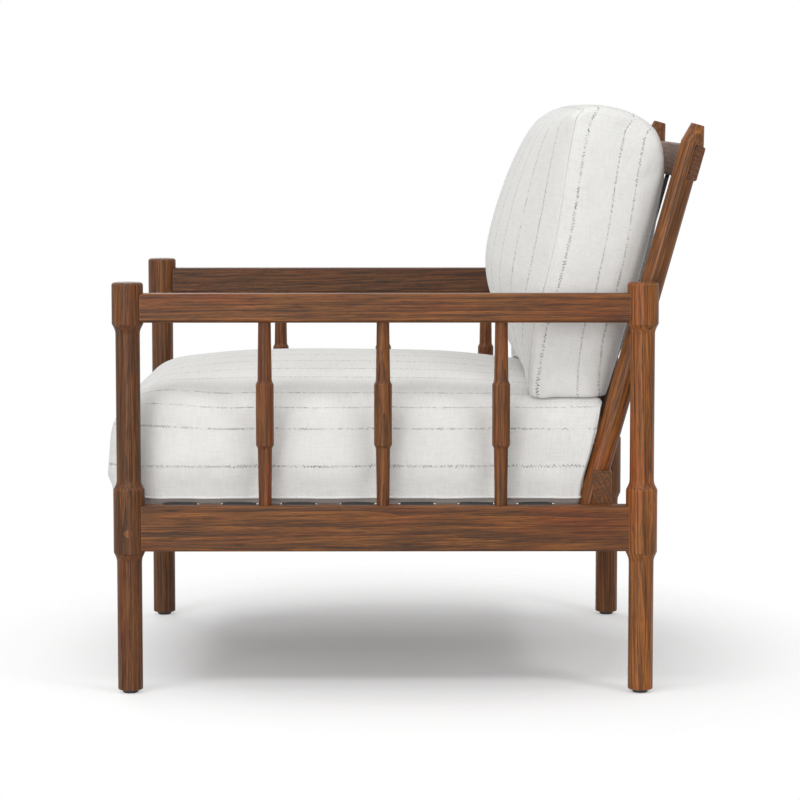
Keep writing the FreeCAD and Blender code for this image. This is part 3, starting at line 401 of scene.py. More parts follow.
def mottled(name, dark, light, scale, rough, metal=0.0):
    finish, tree, shader = new_finish(name)
    place = add(tree, "TexCoord").outputs["Object"]
    clouds = add(tree, "TexNoise", {"Vector": place, "Scale": scale, "Detail": 5.0}).outputs[0]
    scuffs = add(tree, "TexNoise", {"Vector": place, "Scale": scale * 6.0, "Detail": 2.0}).outputs[0]
    marks = sum_up(tree, "MULTIPLY_ADD", scuffs, 0.4, sum_up(tree, "MULTIPLY", clouds, 0.6))
    tree.links.new(ramp(tree, marks, [(0.35, dark), (0.70, light)]), shader.inputs["Base Color"])
    tree.links.new(ranged(tree, marks, 0.35, 0.65, rough - 0.1, rough + 0.12), shader.inputs["Roughness"])
    shader.inputs["Metallic"].default_value = metal
    bump = add(tree, "Bump", {"Height": scuffs, "Strength": 0.2, "Distance": 0.0003})
    tree.links.new(bump.outputs[0], shader.inputs["Normal"])
    return finish


seat_web = webbing("seat_webbing", ALONG_SIDE, ACROSS)
back_web = webbing("back_webbing", ACROSS, LEANING)
glide_black = mottled("glide_black", GLIDE_DARK, GLIDE_LIGHT, scale=160.0, rough=0.5)
dull_steel = mottled("dull_steel", STEEL_DARK, STEEL_LIGHT, scale=240.0, rough=0.4, metal=1.0)
for node in sorted(solids):
    if node.startswith("seat_strap"):
        dress(node, seat_web)
    elif node.startswith("back_strap"):
        dress(node, back_web)
    elif node.startswith("foot_glide"):
        dress(node, glide_black)
    elif node.endswith(("bolts", "nuts", "screws")):
        dress(node, dull_steel)
print("webbing, glides and fasteners dressed")

# %% [markdown]
# The cushion covers are a heavy off-white plain weave with thin charcoal pinstripes. On the loom a
# stripe is one dark yarn that dips under and over, so it reads as small slanted dashes that fade in and
# out. A picture of cloth would repeat, so the weave is drawn in the shader, on a map in metres that
# follows each sewn panel: one direction runs across the stripes and the other along them. The stripes
# are not evenly spaced, so they have a second map, which is stretched until each stripe falls in its
# place.

# %% Striped cloth
STRIPE_PITCH = 0.0564
CLOTH_MAP = "cloth_run"
STRIPE_MAP = "stripe_run"
CLOTH_PALE = (0.775, 0.770, 0.750)
CLOTH_SHADE = (0.600, 0.595, 0.575)
STRIPE_DARK = (0.070, 0.070, 0.078, 1.0)
STRIPE_CORE = 0.0005
STRIPE_EDGE = 0.0013
ZIGZAG = 0.0022
WANDER = 0.0016
UNDER_PALE = (0.300, 0.262, 0.240)
UNDER_SHADE = (0.180, 0.155, 0.142)
YARN = 0.0026


def striped_cloth(name, striped=True, pale=CLOTH_PALE, shaded=CLOTH_SHADE):
    finish, tree, shader = new_finish(name)
    cloth = add(tree, "UVMap", uv_map=CLOTH_MAP).outputs[0]
    parts = add(tree, "SeparateXYZ", {0: cloth})
    across, along = parts.outputs[0], parts.outputs[1]

    def noise(stretch, scale, detail):
        sized = add(tree, "VectorMath", {0: cloth, 1: stretch}, operation="MULTIPLY").outputs[0]
        sockets = {"Vector": sized, "Scale": scale, "Detail": detail, "Roughness": 0.6}
        return add(tree, "TexNoise", sockets).outputs[0]

    def yarns(direction):
        return sum_up(tree, "SINE", sum_up(tree, "MULTIPLY", direction, 2.0 * math.pi / YARN))

    warp_slubs = noise((1.0, 0.10, 1.0), 420.0, 2.0)
    weft_slubs = noise((0.10, 1.0, 1.0), 420.0, 2.0)
    speckle = noise((1.0, 1.0, 1.0), 760.0, 2.0)
    soil = noise((1.0, 1.0, 1.0), 11.0, 3.0)
    crossing = sum_up(tree, "MULTIPLY", yarns(across), yarns(along))
    slubs = sum_up(tree, "ADD", warp_slubs, weft_slubs)
    height = sum_up(tree, "MULTIPLY_ADD", slubs, 0.8, sum_up(tree, "MULTIPLY", crossing, 0.35))
    height = sum_up(tree, "MULTIPLY_ADD", speckle, 1.3, height)
    tint = ranged(tree, height, 0.85, 1.97)
    tint = sum_up(tree, "MULTIPLY_ADD", sum_up(tree, "SUBTRACT", soil, 0.5), 0.35, tint)
    colour = ramp(tree, tint, [(0.0, shaded), (0.75, pale)])
    if striped:
        stripes = add(tree, "UVMap", uv_map=STRIPE_MAP).outputs[0]
        across = add(tree, "SeparateXYZ", {0: stripes}).outputs[0]
        slant = sum_up(tree, "PINGPONG", along, ZIGZAG)
        swing = ranged(tree, noise((0.1, 1.0, 1.0), 90.0, 1.0), 0.35, 0.65, 0.8, 2.4)
        slant = sum_up(tree, "MULTIPLY", sum_up(tree, "SUBTRACT", slant, ZIGZAG / 2.0), swing)
        drift = sum_up(tree, "SUBTRACT", noise((0.2, 1.0, 1.0), 35.0, 1.0), 0.5)
        wander = sum_up(tree, "MULTIPLY", drift, WANDER)
        line = sum_up(tree, "ADD", sum_up(tree, "ADD", across, slant), wander)
        nearest = sum_up(tree, "PINGPONG", line, STRIPE_PITCH / 2.0)
        ink = ranged(tree, nearest, STRIPE_CORE, STRIPE_EDGE, 1.0, 0.0)
        dashes = ranged(tree, noise((0.1, 1.0, 1.0), 260.0, 1.0), 0.42, 0.58, 0.12, 1.0)
        faded = ranged(tree, noise((0.3, 1.0, 1.0), 16.0, 1.0), 0.30, 0.60, 0.50, 1.0)
        ink = sum_up(tree, "MULTIPLY", ink, sum_up(tree, "MULTIPLY", dashes, faded))
        colour = mixed(tree, ink, colour, STRIPE_DARK)
    tree.links.new(colour, shader.inputs["Base Color"])
    tree.links.new(ranged(tree, speckle, 0.3, 0.7, 0.86, 0.98), shader.inputs["Roughness"])
    shader.inputs["Specular IOR Level"].default_value = 0.2
    shader.inputs["Sheen Weight"].default_value = 0.15
    shader.inputs["Sheen Roughness"].default_value = 0.6
    bump = add(tree, "Bump", {"Height": height, "Strength": 0.45, "Distance": 0.0007})
    tree.links.new(bump.outputs[0], shader.inputs["Normal"])
    return finish


cover_cloth = striped_cloth("striped_cover_cloth")
plain_cloth = striped_cloth("plain_welt_cloth", striped=False)
under_cloth = striped_cloth("taupe_under_cloth", False, UNDER_PALE, UNDER_SHADE)
print("cloth stripes every", STRIPE_PITCH * 1000.0, "mm")

# %% [markdown]
# Both cushions are boxed: two main panels joined by a band. A box cut into even squares has just these
# panels, and its edges are the seams. It could be pushed into shape by hand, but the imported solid
# already has the right form, so each point of the box is sent along a fan of lines onto the solid's
# skin. Starting a little inside the skin leaves the filling room to swell.

# %% A sewn box on the solid's skin
WELL_OUTSIDE = 0.5


def box_lattice(counts):
    ids, quads, panels = {}, [], []

    def corner(*step):
        return ids.setdefault(step, len(ids))

    for axis in range(3):
        one, two = [other for other in range(3) if other != axis]
        for end in (0, counts[axis]):
            for first in range(counts[one]):
                for second in range(counts[two]):
                    loop = []
                    for add_one, add_two in ((0, 0), (1, 0), (1, 1), (0, 1)):
                        step = [0, 0, 0]
                        step[axis] = end
                        step[one] = first + add_one
                        step[two] = second + add_two
                        loop.append(tuple(step))
                    outward = (axis != 1) == (end > 0)
                    quads.append(loop if outward else loop[::-1])
                    panels.append((axis, end > 0))
    for loop in quads:
        for step in loop:
            corner(*step)
    return ids, quads, panels


def skin_of(node):
    mesh = solids[node].data
    points = [vertex.co.copy() for vertex in mesh.vertices]
    return BVHTree.FromPolygons(points, [tuple(face.vertices) for face in mesh.polygons])


def onto_skin(skin, steps, counts, middle, half, axes, rim, heart, inset, rests):
    places, slack = [], []
    for step in steps:
        spot = [(2.0 * step[a] / counts[a] - 1.0) * half[a] for a in range(3)]
        keep = [max(half[0] - rim, 0.0), max(half[1] - rim, 0.0), heart]
        core = [max(-keep[a], min(keep[a], spot[a])) for a in range(3)]
        out = Vector((0.0, 0.0, 0.0))
        start = Vector(middle)
        for a in range(3):
            out += axes[a] * (spot[a] - core[a])
            start += axes[a] * core[a]
        out.normalize()
        hit = skin.ray_cast(start + out * WELL_OUTSIDE, -out)[0]
        if hit is None:
            hit = skin.find_nearest(start + out * rim)[0]
        free = 1.0 - max(0.0, *[out.dot(rest) for rest in rests])
        places.append(hit - out * inset * free)
        slack.append(free)
    return np.array([tuple(p) for p in places]), np.array(slack)


def softened(points, edges, share, rounds):
    counts = np.bincount(edges.ravel(), minlength=len(points))[:, None]
    for _ in range(rounds):
        total = np.zeros_like(points)
        np.add.at(total, edges[:, 0], points[edges[:, 1]])
        np.add.at(total, edges[:, 1], points[edges[:, 0]])
        points = points + share[:, None] * (total / counts - points)
    return points


def eased_step(given, low, high):
    part = np.clip((given - low) / (high - low), 0.0, 1.0)
    return part * part * (3.0 - 2.0 * part)


print("box lattice ready")

# %% [markdown]
# Filling is what makes a cushion: it presses the cloth out until the seams hold it. It could be faked
# with a bulge, but Blender's cloth with air pressure finds the strain by itself. Gravity is off,
# because the cushions lie at rest, and no point may travel further than a set reach, so the cushion
# keeps its size.

# %% Filling by cloth simulation
LAST_FRAME = 20
LEAST_REACH = 0.0003
CLOTH_SETTINGS = {
    "quality": 5,
    "mass": 0.25,
    "tension_stiffness": 25.0,
    "compression_stiffness": 25.0,
    "shear_stiffness": 8.0,
    "bending_stiffness": 0.6,
    "air_damping": 4.0,
    "use_pressure": True,
    "pin_stiffness": 0.6,
}


def puffed(piece, reach, pressure, held, slack):
    start = np.array([tuple(v.co) for v in piece.data.vertices])
    pins = piece.vertex_groups.new(name="held")
    for index, weight in enumerate(held):
        if weight > 0.0:
            pins.add([index], float(weight), "REPLACE")
    cloth = piece.modifiers.new("filling", "CLOTH")
    for name, setting in CLOTH_SETTINGS.items():
        setattr(cloth.settings, name, setting)
    cloth.settings.uniform_pressure_force = pressure
    cloth.settings.vertex_group_mass = "held"
    cloth.settings.effector_weights.gravity = 0.0
    cloth.collision_settings.use_collision = False
    cloth.point_cache.frame_start = 1
    cloth.point_cache.frame_end = LAST_FRAME
    scene = bpy.context.scene
    for step in range(1, LAST_FRAME + 1):
        scene.frame_set(step)
    graph = bpy.context.evaluated_depsgraph_get()
    swollen = piece.evaluated_get(graph).to_mesh()
    after = np.array([tuple(v.co) for v in swollen.vertices])
    piece.evaluated_get(graph).to_mesh_clear()
    piece.modifiers.remove(cloth)
    piece.vertex_groups.remove(pins)
    scene.frame_set(1)
    moved = after - start
    length = np.linalg.norm(moved, axis=1, keepdims=True)
    cap = reach * slack[:, None] + LEAST_REACH
    limit = cap * np.tanh(length / cap)
    print(piece.name, "swelled by up to", round(float(length.max()) * 1000.0, 1), "mm before the cap")
    return start + moved * limit / np.maximum(length, 1e-9)


def set_points(piece, points):
    piece.data.vertices.foreach_set("co", points.astype(np.float32).ravel())
    piece.data.update()


def sewn_piece(name, ids, quads, points):
    mesh = bpy.data.meshes.new(name)
    mesh.from_pydata([tuple(p) for p in points], [], [[ids[step] for step in loop] for loop in quads])
    mesh.update()
    piece = bpy.data.objects.new(name, mesh)
    bpy.context.scene.collection.objects.link(piece)
    for face in mesh.polygons:
        face.use_smooth = True
    return piece


def sharpen(piece, chosen, amount):
    crease = piece.data.attributes.new("crease_edge", "FLOAT", "EDGE")
    for edge in piece.data.edges:
        first, second = edge.vertices
        crease.data[edge.index].value = amount * float(chosen[first] and chosen[second])


def add_finer_cloth(piece):
    finer = piece.modifiers.new("finer_cloth", "SUBSURF")
    finer.levels = 1
    finer.render_levels = 1


def paint_map(piece, map_name, quads, panels, run):
    layer = piece.data.uv_layers.new(name=map_name)
    values = [run(step, panel) for loop, panel in zip(quads, panels) for step in loop]
    layer.uv.foreach_set("vector", np.array(values, np.float32).ravel())


def by_mark(reach, marks):
    if reach < marks[0]:
        return reach - marks[0]
    if reach > marks[-1]:
        return STRIPE_PITCH * (len(marks) - 1) + reach - marks[-1]
    return float(np.interp(reach, marks, STRIPE_PITCH * np.arange(len(marks))))


def lengths_along(points):
    steps = np.linalg.norm(np.diff(points, axis=0), axis=-1)
    return np.concatenate([np.zeros((1,) + steps.shape[1:]), np.cumsum(steps, axis=0)])


print("filling helpers ready")

# %% [markdown]
# The seat cushion is a firm block with a full, crowned top and a rolled front. The cloth goes from one
# side over the top to the other without a seam. The posts and spindles press into its sides, and its
# rear corners fill the room in front of the stiles.

# %% Seat cushion form
SEAT_COUNTS = (72, 80, 18)
SEAT_EDGE = 0.4370
SEAT_LOW = 0.2815
SEAT_REAR = 0.287
SEAT_RIM = 0.060
SEAT_HEART = 0.012
SEAT_INSET = 0.004
AXES_UPRIGHT = (ACROSS, ALONG_SIDE, UPRIGHT)

seat_low, seat_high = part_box("seat_cushion_cover")
seat_middle = Vector((0.0, (seat_low.y + SEAT_REAR) / 2.0, (SEAT_LOW + SEAT_EDGE) / 2.0))
seat_half = (seat_high.x, SEAT_REAR - seat_middle.y, (SEAT_EDGE - SEAT_LOW) / 2.0)
seat_ids, seat_quads, seat_panels = box_lattice(SEAT_COUNTS)
seat_skin = skin_of("seat_cushion_cover")
seat_start, seat_slack = onto_skin(
    seat_skin,
    seat_ids,
    SEAT_COUNTS,
    seat_middle,
    seat_half,
    AXES_UPRIGHT,
    SEAT_RIM,
    SEAT_HEART,
    SEAT_INSET,
    (-UPRIGHT, ALONG_SIDE),
)
seat_pad = sewn_piece("seat_pad", seat_ids, seat_quads, seat_start)
print("seat lattice", len(seat_start), "points")

# %% Seat cushion filling
SEAT_REACH = 0.005
SEAT_PRESSURE = 4.0
EDGE_SOFTNESS = 0.048
EDGE_SHARE = 0.6
EDGE_ROUNDS = 26
FRONT_KEPT = 2.4
CROWN_FROM = 0.440
CROWN_EASE = 0.14

seat_steps = np.array(list(seat_ids))
seat_edges = np.array([tuple(edge.vertices) for edge in seat_pad.data.edges])
seat_held = np.where(seat_steps[:, 2] == 0, 1.0, 0.0)
seat_points = puffed(seat_pad, SEAT_REACH, SEAT_PRESSURE, seat_held, seat_slack)
nx, ny, nz = SEAT_COUNTS
cell = 2.0 * np.array(seat_half) / np.array(SEAT_COUNTS)
below_edge = (nz - seat_steps[:, 2]) * cell[2]
beside_edge = np.minimum(seat_steps[:, 0], nx - seat_steps[:, 0]) * cell[0]
inside_edge = np.minimum(beside_edge, FRONT_KEPT * seat_steps[:, 1] * cell[1])
from_edge = np.maximum(below_edge, inside_edge)
edge_share = EDGE_SHARE * np.exp(-((from_edge / EDGE_SOFTNESS) ** 2))
seat_points = softened(seat_points, seat_edges, edge_share, EDGE_ROUNDS)
seat_points[:, 2] -= CROWN_EASE * np.maximum(seat_points[:, 2] - CROWN_FROM, 0.0)
print("seat filled and its upper edge softened")

# %% Seat cushion pressed by the frame
PRESS_SPOTS = (-0.395, -0.2015, -0.027, 0.1475)
PRESS_WIDTH = 0.023
PRESS_DEPTH = 0.013
PRESS_DEPTH_HIGH = 0.009
PRESS_FROM = 0.18
PRESS_FADE = 0.15
PRESS_FOOT = (0.284, 0.320)
PRESS_HIGH = (0.340, 0.430)
STILE_FRONT = 0.2618
CORNER_FILL = 0.85
CORNER_DEPTHS = (0.215, 0.275)
CORNER_WIDTHS = (0.272, 0.290)
HEM_REACH = 0.005
HEM_HEIGHT = 0.022
HEM_FROM = 0.30
FRONT_LIFT = 0.007
LIFT_DEPTHS = (0.26, 0.38)
LIFT_HEIGHTS = (0.340, 0.425)
FRONT_EASE = 0.003
FRONT_DEPTHS = (0.34, 0.44)
FRONT_TUCK = 0.005
TUCK_HEIGHT = 0.060
SEAT_WIDEST = 0.3312
SEAT_FLOOR = 0.2813

unpressed = seat_points.copy()
pressed = np.zeros(len(seat_points))
for spot in PRESS_SPOTS:
    pressed = np.maximum(pressed, np.exp(-(((seat_points[:, 1] - spot) / PRESS_WIDTH) ** 2)))
outer = np.clip((np.abs(seat_points[:, 0]) - PRESS_FROM) / PRESS_FADE, 0.0, 1.0) ** 2
foot = eased_step(seat_points[:, 2], *PRESS_FOOT)
high = eased_step(seat_points[:, 2], *PRESS_HIGH)
inward = pressed * outer * (PRESS_DEPTH * foot + PRESS_DEPTH_HIGH * high)
seat_points[:, 0] -= np.sign(seat_points[:, 0]) * inward
stile_limit = STILE_FRONT + math.tan(LEAN) * (seat_points[:, 2] - SEAT_FLOOR)
corner = eased_step(seat_points[:, 1], *CORNER_DEPTHS)
corner = corner * eased_step(np.abs(seat_points[:, 0]), *CORNER_WIDTHS)
seat_points[:, 1] += CORNER_FILL * corner * (stile_limit - seat_points[:, 1])
hem = np.clip(1.0 - (seat_points[:, 2] - SEAT_FLOOR) / HEM_HEIGHT, 0.0, 1.0)
hem = hem * (np.abs(seat_points[:, 0]) > HEM_FROM)
seat_points[:, 0] += np.sign(seat_points[:, 0]) * HEM_REACH * hem
lifted = eased_step(-seat_points[:, 1], *LIFT_DEPTHS) * eased_step(seat_points[:, 2], *LIFT_HEIGHTS)
seat_points[:, 2] += FRONT_LIFT * lifted
forward = eased_step(-seat_points[:, 1], *FRONT_DEPTHS)
low_front = np.clip(1.0 - (seat_points[:, 2] - SEAT_FLOOR) / TUCK_HEIGHT, 0.0, 1.0) ** 2
seat_points[:, 1] += forward * (FRONT_EASE + FRONT_TUCK * low_front)
seat_points[:, 0] = np.clip(seat_points[:, 0], -SEAT_WIDEST, SEAT_WIDEST)
print("frame presses", len(PRESS_SPOTS), "dents into each side of the seat")

# %% [markdown]
# The seat cushion rests on its straps and sags a little between them. Its underside could be left flat,
# but then light would show between cloth and rail. So the rows of the underside next to a strap's edge
# are moved to that edge, and the cloth bends down there.

# %% Seat cushion on its straps
HEM_INSIDE = 0.0005
HEM_OUTSIDE = 0.0015
STRAP_MARGIN = 0.001
STRAP_SAG = 0.0028
UNDER_TOP = 0.2862
RIM_CREASE = 0.9

underside = seat_steps[:, 2] == 0
rows = seat_steps[:, 1]
row_places = np.array([seat_points[underside & (rows == j), 1].mean() for j in range(ny + 1)])
on_strap = np.zeros(len(seat_points))
for node in sorted(solids):
    if node.startswith("seat_strap"):
        strap_low, strap_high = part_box(node)
        half_strap = (strap_high.y - strap_low.y) / 2.0
        middle = (strap_low.y + strap_high.y) / 2.0
        for side in (-1.0, 1.0):
            inside = np.abs(row_places - middle) < half_strap
            outside = (row_places - middle) * side > half_strap
            last_on = np.where(inside, row_places * side, -np.inf).argmax()
            first_off = np.where(outside, row_places * side, np.inf).argmin()
            edge = middle + side * half_strap
            seat_points[underside & (rows == last_on), 1] = edge - side * HEM_INSIDE
            seat_points[underside & (rows == first_off), 1] = edge + side * HEM_OUTSIDE
        off_middle = np.abs(seat_points[:, 1] - middle)
        on_strap = np.maximum(on_strap, np.where(off_middle < half_strap + STRAP_MARGIN, 1.0, 0.0))
seat_points[underside, 2] = SEAT_FLOOR - STRAP_SAG * (1.0 - on_strap[underside])
seat_points[~underside, 2] = np.maximum(seat_points[~underside, 2], SEAT_FLOOR)
seat_points[seat_steps[:, 2] == 1, 2] = UNDER_TOP
low_rim = underside & ((inside_edge == 0.0) | (rows == ny))
rear_rim = (seat_steps[:, 2] == nz) & (rows == ny)
sharpen(seat_pad, low_rim | rear_rim, RIM_CREASE)
set_points(seat_pad, seat_points)
print("seat pad box", seat_points.min(0).round(4), seat_points.max(0).round(4))

# %% [markdown]
# The stripes of the seat run from front to rear, and their places on the near side are known. They
# could be counted along each row of cloth, but the dents would make them wavy. So every point looks up
# its place on one smooth outline across the middle of the seat, as it was before the frame pressed it.

# %% Seat cushion cloth
SIDE_STRIPES = (0.3354, 0.3918, 0.4235)
TOP_STRIPES = (0.286, 0.224, 0.174)


def seat_at(i, j, k):
    return unpressed[seat_ids[(i, j, k)]]


middle_row = ny // 2
near_profile = np.array([seat_at(nx, middle_row, k) for k in range(nz + 1)])
top_profile = np.array([seat_at(i, middle_row, nz) for i in range(nx, -1, -1)])
far_profile = np.array([seat_at(0, middle_row, k) for k in range(nz, -1, -1)])
profile = np.concatenate([near_profile, top_profile[1:], far_profile[1:]])[:, [0, 2]]
profile_steps = np.diff(profile, axis=0)
profile_lengths = np.linalg.norm(profile_steps, axis=1)
profile_run = np.concatenate([[0.0], np.cumsum(profile_lengths)])


def round_the_seat(point):
    share = ((point - profile[:-1]) * profile_steps).sum(1) / profile_lengths**2
    share = np.clip(share, 0.0, 1.0)
    off = np.linalg.norm(profile[:-1] + share[:, None] * profile_steps - point, axis=1)
    nearest = off.argmin()
    return profile_run[nearest] + share[nearest] * profile_lengths[nearest]


seat_reach = np.array([round_the_seat(point[[0, 2]]) for point in unpressed])
side_marks = np.interp(SIDE_STRIPES, near_profile[:, 2], profile_run[: nz + 1])
top_marks = np.interp(-np.array(TOP_STRIPES), -top_profile[:, 0], profile_run[nz : nz + nx + 1])
near_marks = np.concatenate([side_marks, top_marks])
middle_gaps = round((profile_run[-1] - 2.0 * near_marks[-1]) / STRIPE_PITCH)
middle_marks = np.linspace(near_marks[-1], profile_run[-1] - near_marks[-1], middle_gaps + 1)[1:-1]
seat_marks = np.concatenate([near_marks, middle_marks, profile_run[-1] - near_marks[::-1]])


def seat_run(step, panel):
    axis, far_end = panel
    x, y, z = seat_at(*step)
    if axis == 1:
        return float(np.interp(z, near_profile[:, 2], profile_run[: nz + 1])), x
    if axis == 2 and not far_end:
        return x, y
    return seat_reach[seat_ids[step]], y


def seat_stripe(step, panel):
    reach, along = seat_run(step, panel)
    return by_mark(reach, seat_marks), along


paint_map(seat_pad, CLOTH_MAP, seat_quads, seat_panels, seat_run)
paint_map(seat_pad, STRIPE_MAP, seat_quads, seat_panels, seat_stripe)
seat_pad.data.materials.append(cover_cloth)
seat_pad.data.materials.append(under_cloth)
for face in seat_pad.data.polygons:
    if face.center.z < UNDER_TOP:
        face.material_index = 1
add_finer_cloth(seat_pad)
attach(seat_pad, "seat_cushion")
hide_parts("seat_cushion_cover", "seat_cushion_core")
print(len(seat_marks), "stripes cross the seat")

# %% [markdown]
# The back cushion is plumper: its front panel is drawn tight over a deep soft filling, while the band
# round it stays flatter. It is built the same way, in a frame that leans with the stiles. Its stripes
# stand upright on both panels and run round the band, so each panel keeps its own count from its seam.

# %% Back cushion form
BACK_COUNTS = (66, 48, 20)
BACK_RIM = 0.055
BACK_HEART = 0.012
BACK_INSET = 0.004
CAP_DEPTH = 0.001
FORWARD = Vector((0.0, -math.cos(LEAN), math.sin(LEAN)))
AXES_LEANING = (ACROSS, LEANING, FORWARD)

back_mesh = solids["back_cushion_cover"].data
back_skin = skin_of("back_cushion_cover")
local = np.array([[v.co.dot(axis) for axis in AXES_LEANING] for v in back_mesh.vertices])
cap = local[np.abs(local[:, 0]) > local[:, 0].max() - CAP_DEPTH]
back_lowest, back_highest = cap.min(0), cap.max(0)
back_middle = Vector((0.0, 0.0, 0.0))
for axis, low, high in zip(AXES_LEANING, back_lowest, back_highest):
    back_middle += axis * float((low + high) / 2.0)
back_half = tuple(float(h) for h in (back_highest - back_lowest) / 2.0)
back_ids, back_quads, back_panels = box_lattice(BACK_COUNTS)
back_start, back_slack = onto_skin(
    back_skin,
    back_ids,
    BACK_COUNTS,
    back_middle,
    back_half,
    AXES_LEANING,
    BACK_RIM,
    BACK_HEART,
    BACK_INSET,
    (-LEANING, -FORWARD),
)
print("back band", [round(2.0 * h, 3) for h in back_half], "m")

# %% Back cushion plumped and rounded
PANEL_HALF = 0.300
PANEL_PUSH_LOW = 0.009
PANEL_PUSH_HIGH = 0.009
PANEL_RISE = (0.10, 0.85)
SEAM_PUSH_LOW = 0.002
SEAM_PUSH_HIGH = 0.015
SEAM_RISE = (0.45, 0.95)
REAR_HALF = 0.305
REAR_BELLY = 0.008
REAR_ROUND = 0.032
REAR_ROUND_TOP = 0.020

bx, by, bz = BACK_COUNTS
back_steps = np.array(list(back_ids))
back_rise = (back_start - np.array(back_middle)) @ np.array(LEANING) / (2.0 * back_half[1]) + 0.5
across_part = np.clip(1.0 - (back_start[:, 0] / PANEL_HALF) ** 4, 0.0, 1.0)
rise_part = np.clip(1.0 - (2.0 * back_rise - 1.0) ** 6, 0.0, 1.0)
inner = across_part * rise_part * (back_steps[:, 2] == bz)
panel_push = PANEL_PUSH_LOW + PANEL_PUSH_HIGH * eased_step(back_rise, *PANEL_RISE)
seam_push = SEAM_PUSH_LOW + SEAM_PUSH_HIGH * eased_step(back_rise, *SEAM_RISE)
push = (seam_push + (panel_push - seam_push) * inner) * back_steps[:, 2] / bz
back_start = back_start - push[:, None] * np.array(ALONG_SIDE)
across_part = np.clip(1.0 - (back_start[:, 0] / REAR_HALF) ** 6, 0.0, 1.0)
rise_part = np.clip(1.0 - (2.0 * back_rise - 1.0) ** 4, 0.0, 1.0)
belly = REAR_BELLY * across_part * rise_part * (back_steps[:, 2] == 0)
back_start = back_start - belly[:, None] * np.array(FORWARD)
from_rear = np.minimum(2.0 * back_half[2] * back_steps[:, 2] / bz, REAR_ROUND)
drawn_in = REAR_ROUND - np.sqrt(REAR_ROUND**2 - (REAR_ROUND - from_rear) ** 2)
back_start[:, 0] -= drawn_in * back_start[:, 0] / back_half[0]
drawn_down = drawn_in * REAR_ROUND_TOP / REAR_ROUND * np.clip(2.0 * back_rise - 1.0, 0.0, 1.0)
back_start = back_start - drawn_down[:, None] * np.array(LEANING)
back_pad = sewn_piece("back_pad", back_ids, back_quads, back_start)
print("back lattice", len(back_start), "points")

# %% Back cushion filling
BACK_REACH = 0.008
BACK_PRESSURE = 4.0
SEAM_DEPTH = 0.0018
SEAM_CREASE = 0.8
SEAM_HOLD = 0.8

on_rim = (
    (back_steps[:, 0] == 0)
    | (back_steps[:, 0] == bx)
    | (back_steps[:, 1] == 0)
    | (back_steps[:, 1] == by)
)
front_seam = on_rim & (back_steps[:, 2] == bz)
rear_seam = on_rim & (back_steps[:, 2] == 0)
back_held = np.where(front_seam | rear_seam, SEAM_HOLD, 0.0)
back_points = puffed(back_pad, BACK_REACH, BACK_PRESSURE, back_held, back_slack)
set_points(back_pad, back_points)
back_normals = np.array([tuple(v.normal) for v in back_pad.data.vertices])
back_points[front_seam] -= SEAM_DEPTH * back_normals[front_seam]
sharpen(back_pad, front_seam | rear_seam, SEAM_CREASE)
print("back pad box", back_points.min(0).round(4), back_points.max(0).round(4))

# %% [markdown]
# A soft back cushion settles on a crowned seat: its foot takes the seat's shape, and its sides hang a
# little lower than its middle. A second simulation could find this, but the answer is known: the foot
# lies on the seat. So each point of the foot drops onto the seat below it, and the cloth above follows
# less and less.

# %% Back cushion settled on the seat
SETTLE_ROWS = 17
SETTLE_GAP = 0.0012
SETTLE_ROUNDS = 4
SEAM_LIP = 0.004
SHIN_ROWS = 16
SHIN_MARGIN = 6
SHIN_BOW = 0.008
SHIN_SHARE = 0.5
SHIN_ROUNDS = 14
HIGHEST_LOOK = 0.75
LOWEST_REST = 0.40

bpy.context.view_layer.update()
seat_surface = BVHTree.FromObject(seat_pad, bpy.context.evaluated_depsgraph_get())


def seat_height(point):
    hit = seat_surface.ray_cast(Vector((point[0], point[1], HIGHEST_LOOK)), -UPRIGHT)[0]
    return hit.z if hit is not None and hit.z > LOWEST_REST else None


drops = np.zeros((bx + 1, bz + 1))
for i in range(bx + 1):
    for k in range(bz + 1):
        point = back_points[back_ids[(i, 0, k)]]
        height = seat_height(point)
        if height is not None:
            drops[i, k] = point[2] - height - SETTLE_GAP - SEAM_LIP * (k == bz)
for _ in range(SETTLE_ROUNDS):
    wide = np.pad(drops, 1, mode="edge")
    total = wide[1:-1, 1:-1] * 2.0 + wide[:-2, 1:-1] + wide[2:, 1:-1]
    drops = (total + wide[1:-1, :-2] + wide[1:-1, 2:]) / 6.0
follow = np.clip(1.0 - back_steps[:, 1] / SETTLE_ROWS, 0.0, 1.0) ** 2
back_points[:, 2] -= drops[back_steps[:, 0], back_steps[:, 2]] * follow
for index in np.flatnonzero(follow > 0.0):
    height = seat_height(back_points[index])
    if height is not None:
        back_points[index, 2] = max(back_points[index, 2], height + SETTLE_GAP)
for i in range(bx + 1):
    column = [back_ids[(i, j, bz)] for j in range(SHIN_ROWS + 1)]
    share = np.linspace(0.0, 1.0, SHIN_ROWS + 1)
    chord = (1.0 - share) * back_points[column[0], 1] + share * back_points[column[-1], 1]
    chord = chord - SHIN_BOW * 4.0 * share * (1.0 - share)
    back_points[column, 1] = np.minimum(back_points[column, 1], chord)
back_edges = np.array([tuple(edge.vertices) for edge in back_pad.data.edges])
shin = (back_steps[:, 2] == bz) & (back_steps[:, 1] > 0) & (back_steps[:, 1] < SHIN_ROWS + SHIN_MARGIN)
shin = shin & (back_steps[:, 0] > 0) & (back_steps[:, 0] < bx)
back_points = softened(back_points, back_edges, SHIN_SHARE * shin, SHIN_ROUNDS)
set_points(back_pad, back_points)
print("back foot drops by up to", round(float(drops.max()) * 1000.0, 1), "mm")

# %% Back cushion cloth
FRONT_FIRST_STRIPE = 0.045
BAND_STRIPES = (0.023, 0.077, 0.105)


def back_at(i, j, k):
    return back_points[back_ids[(i, j, k)]]


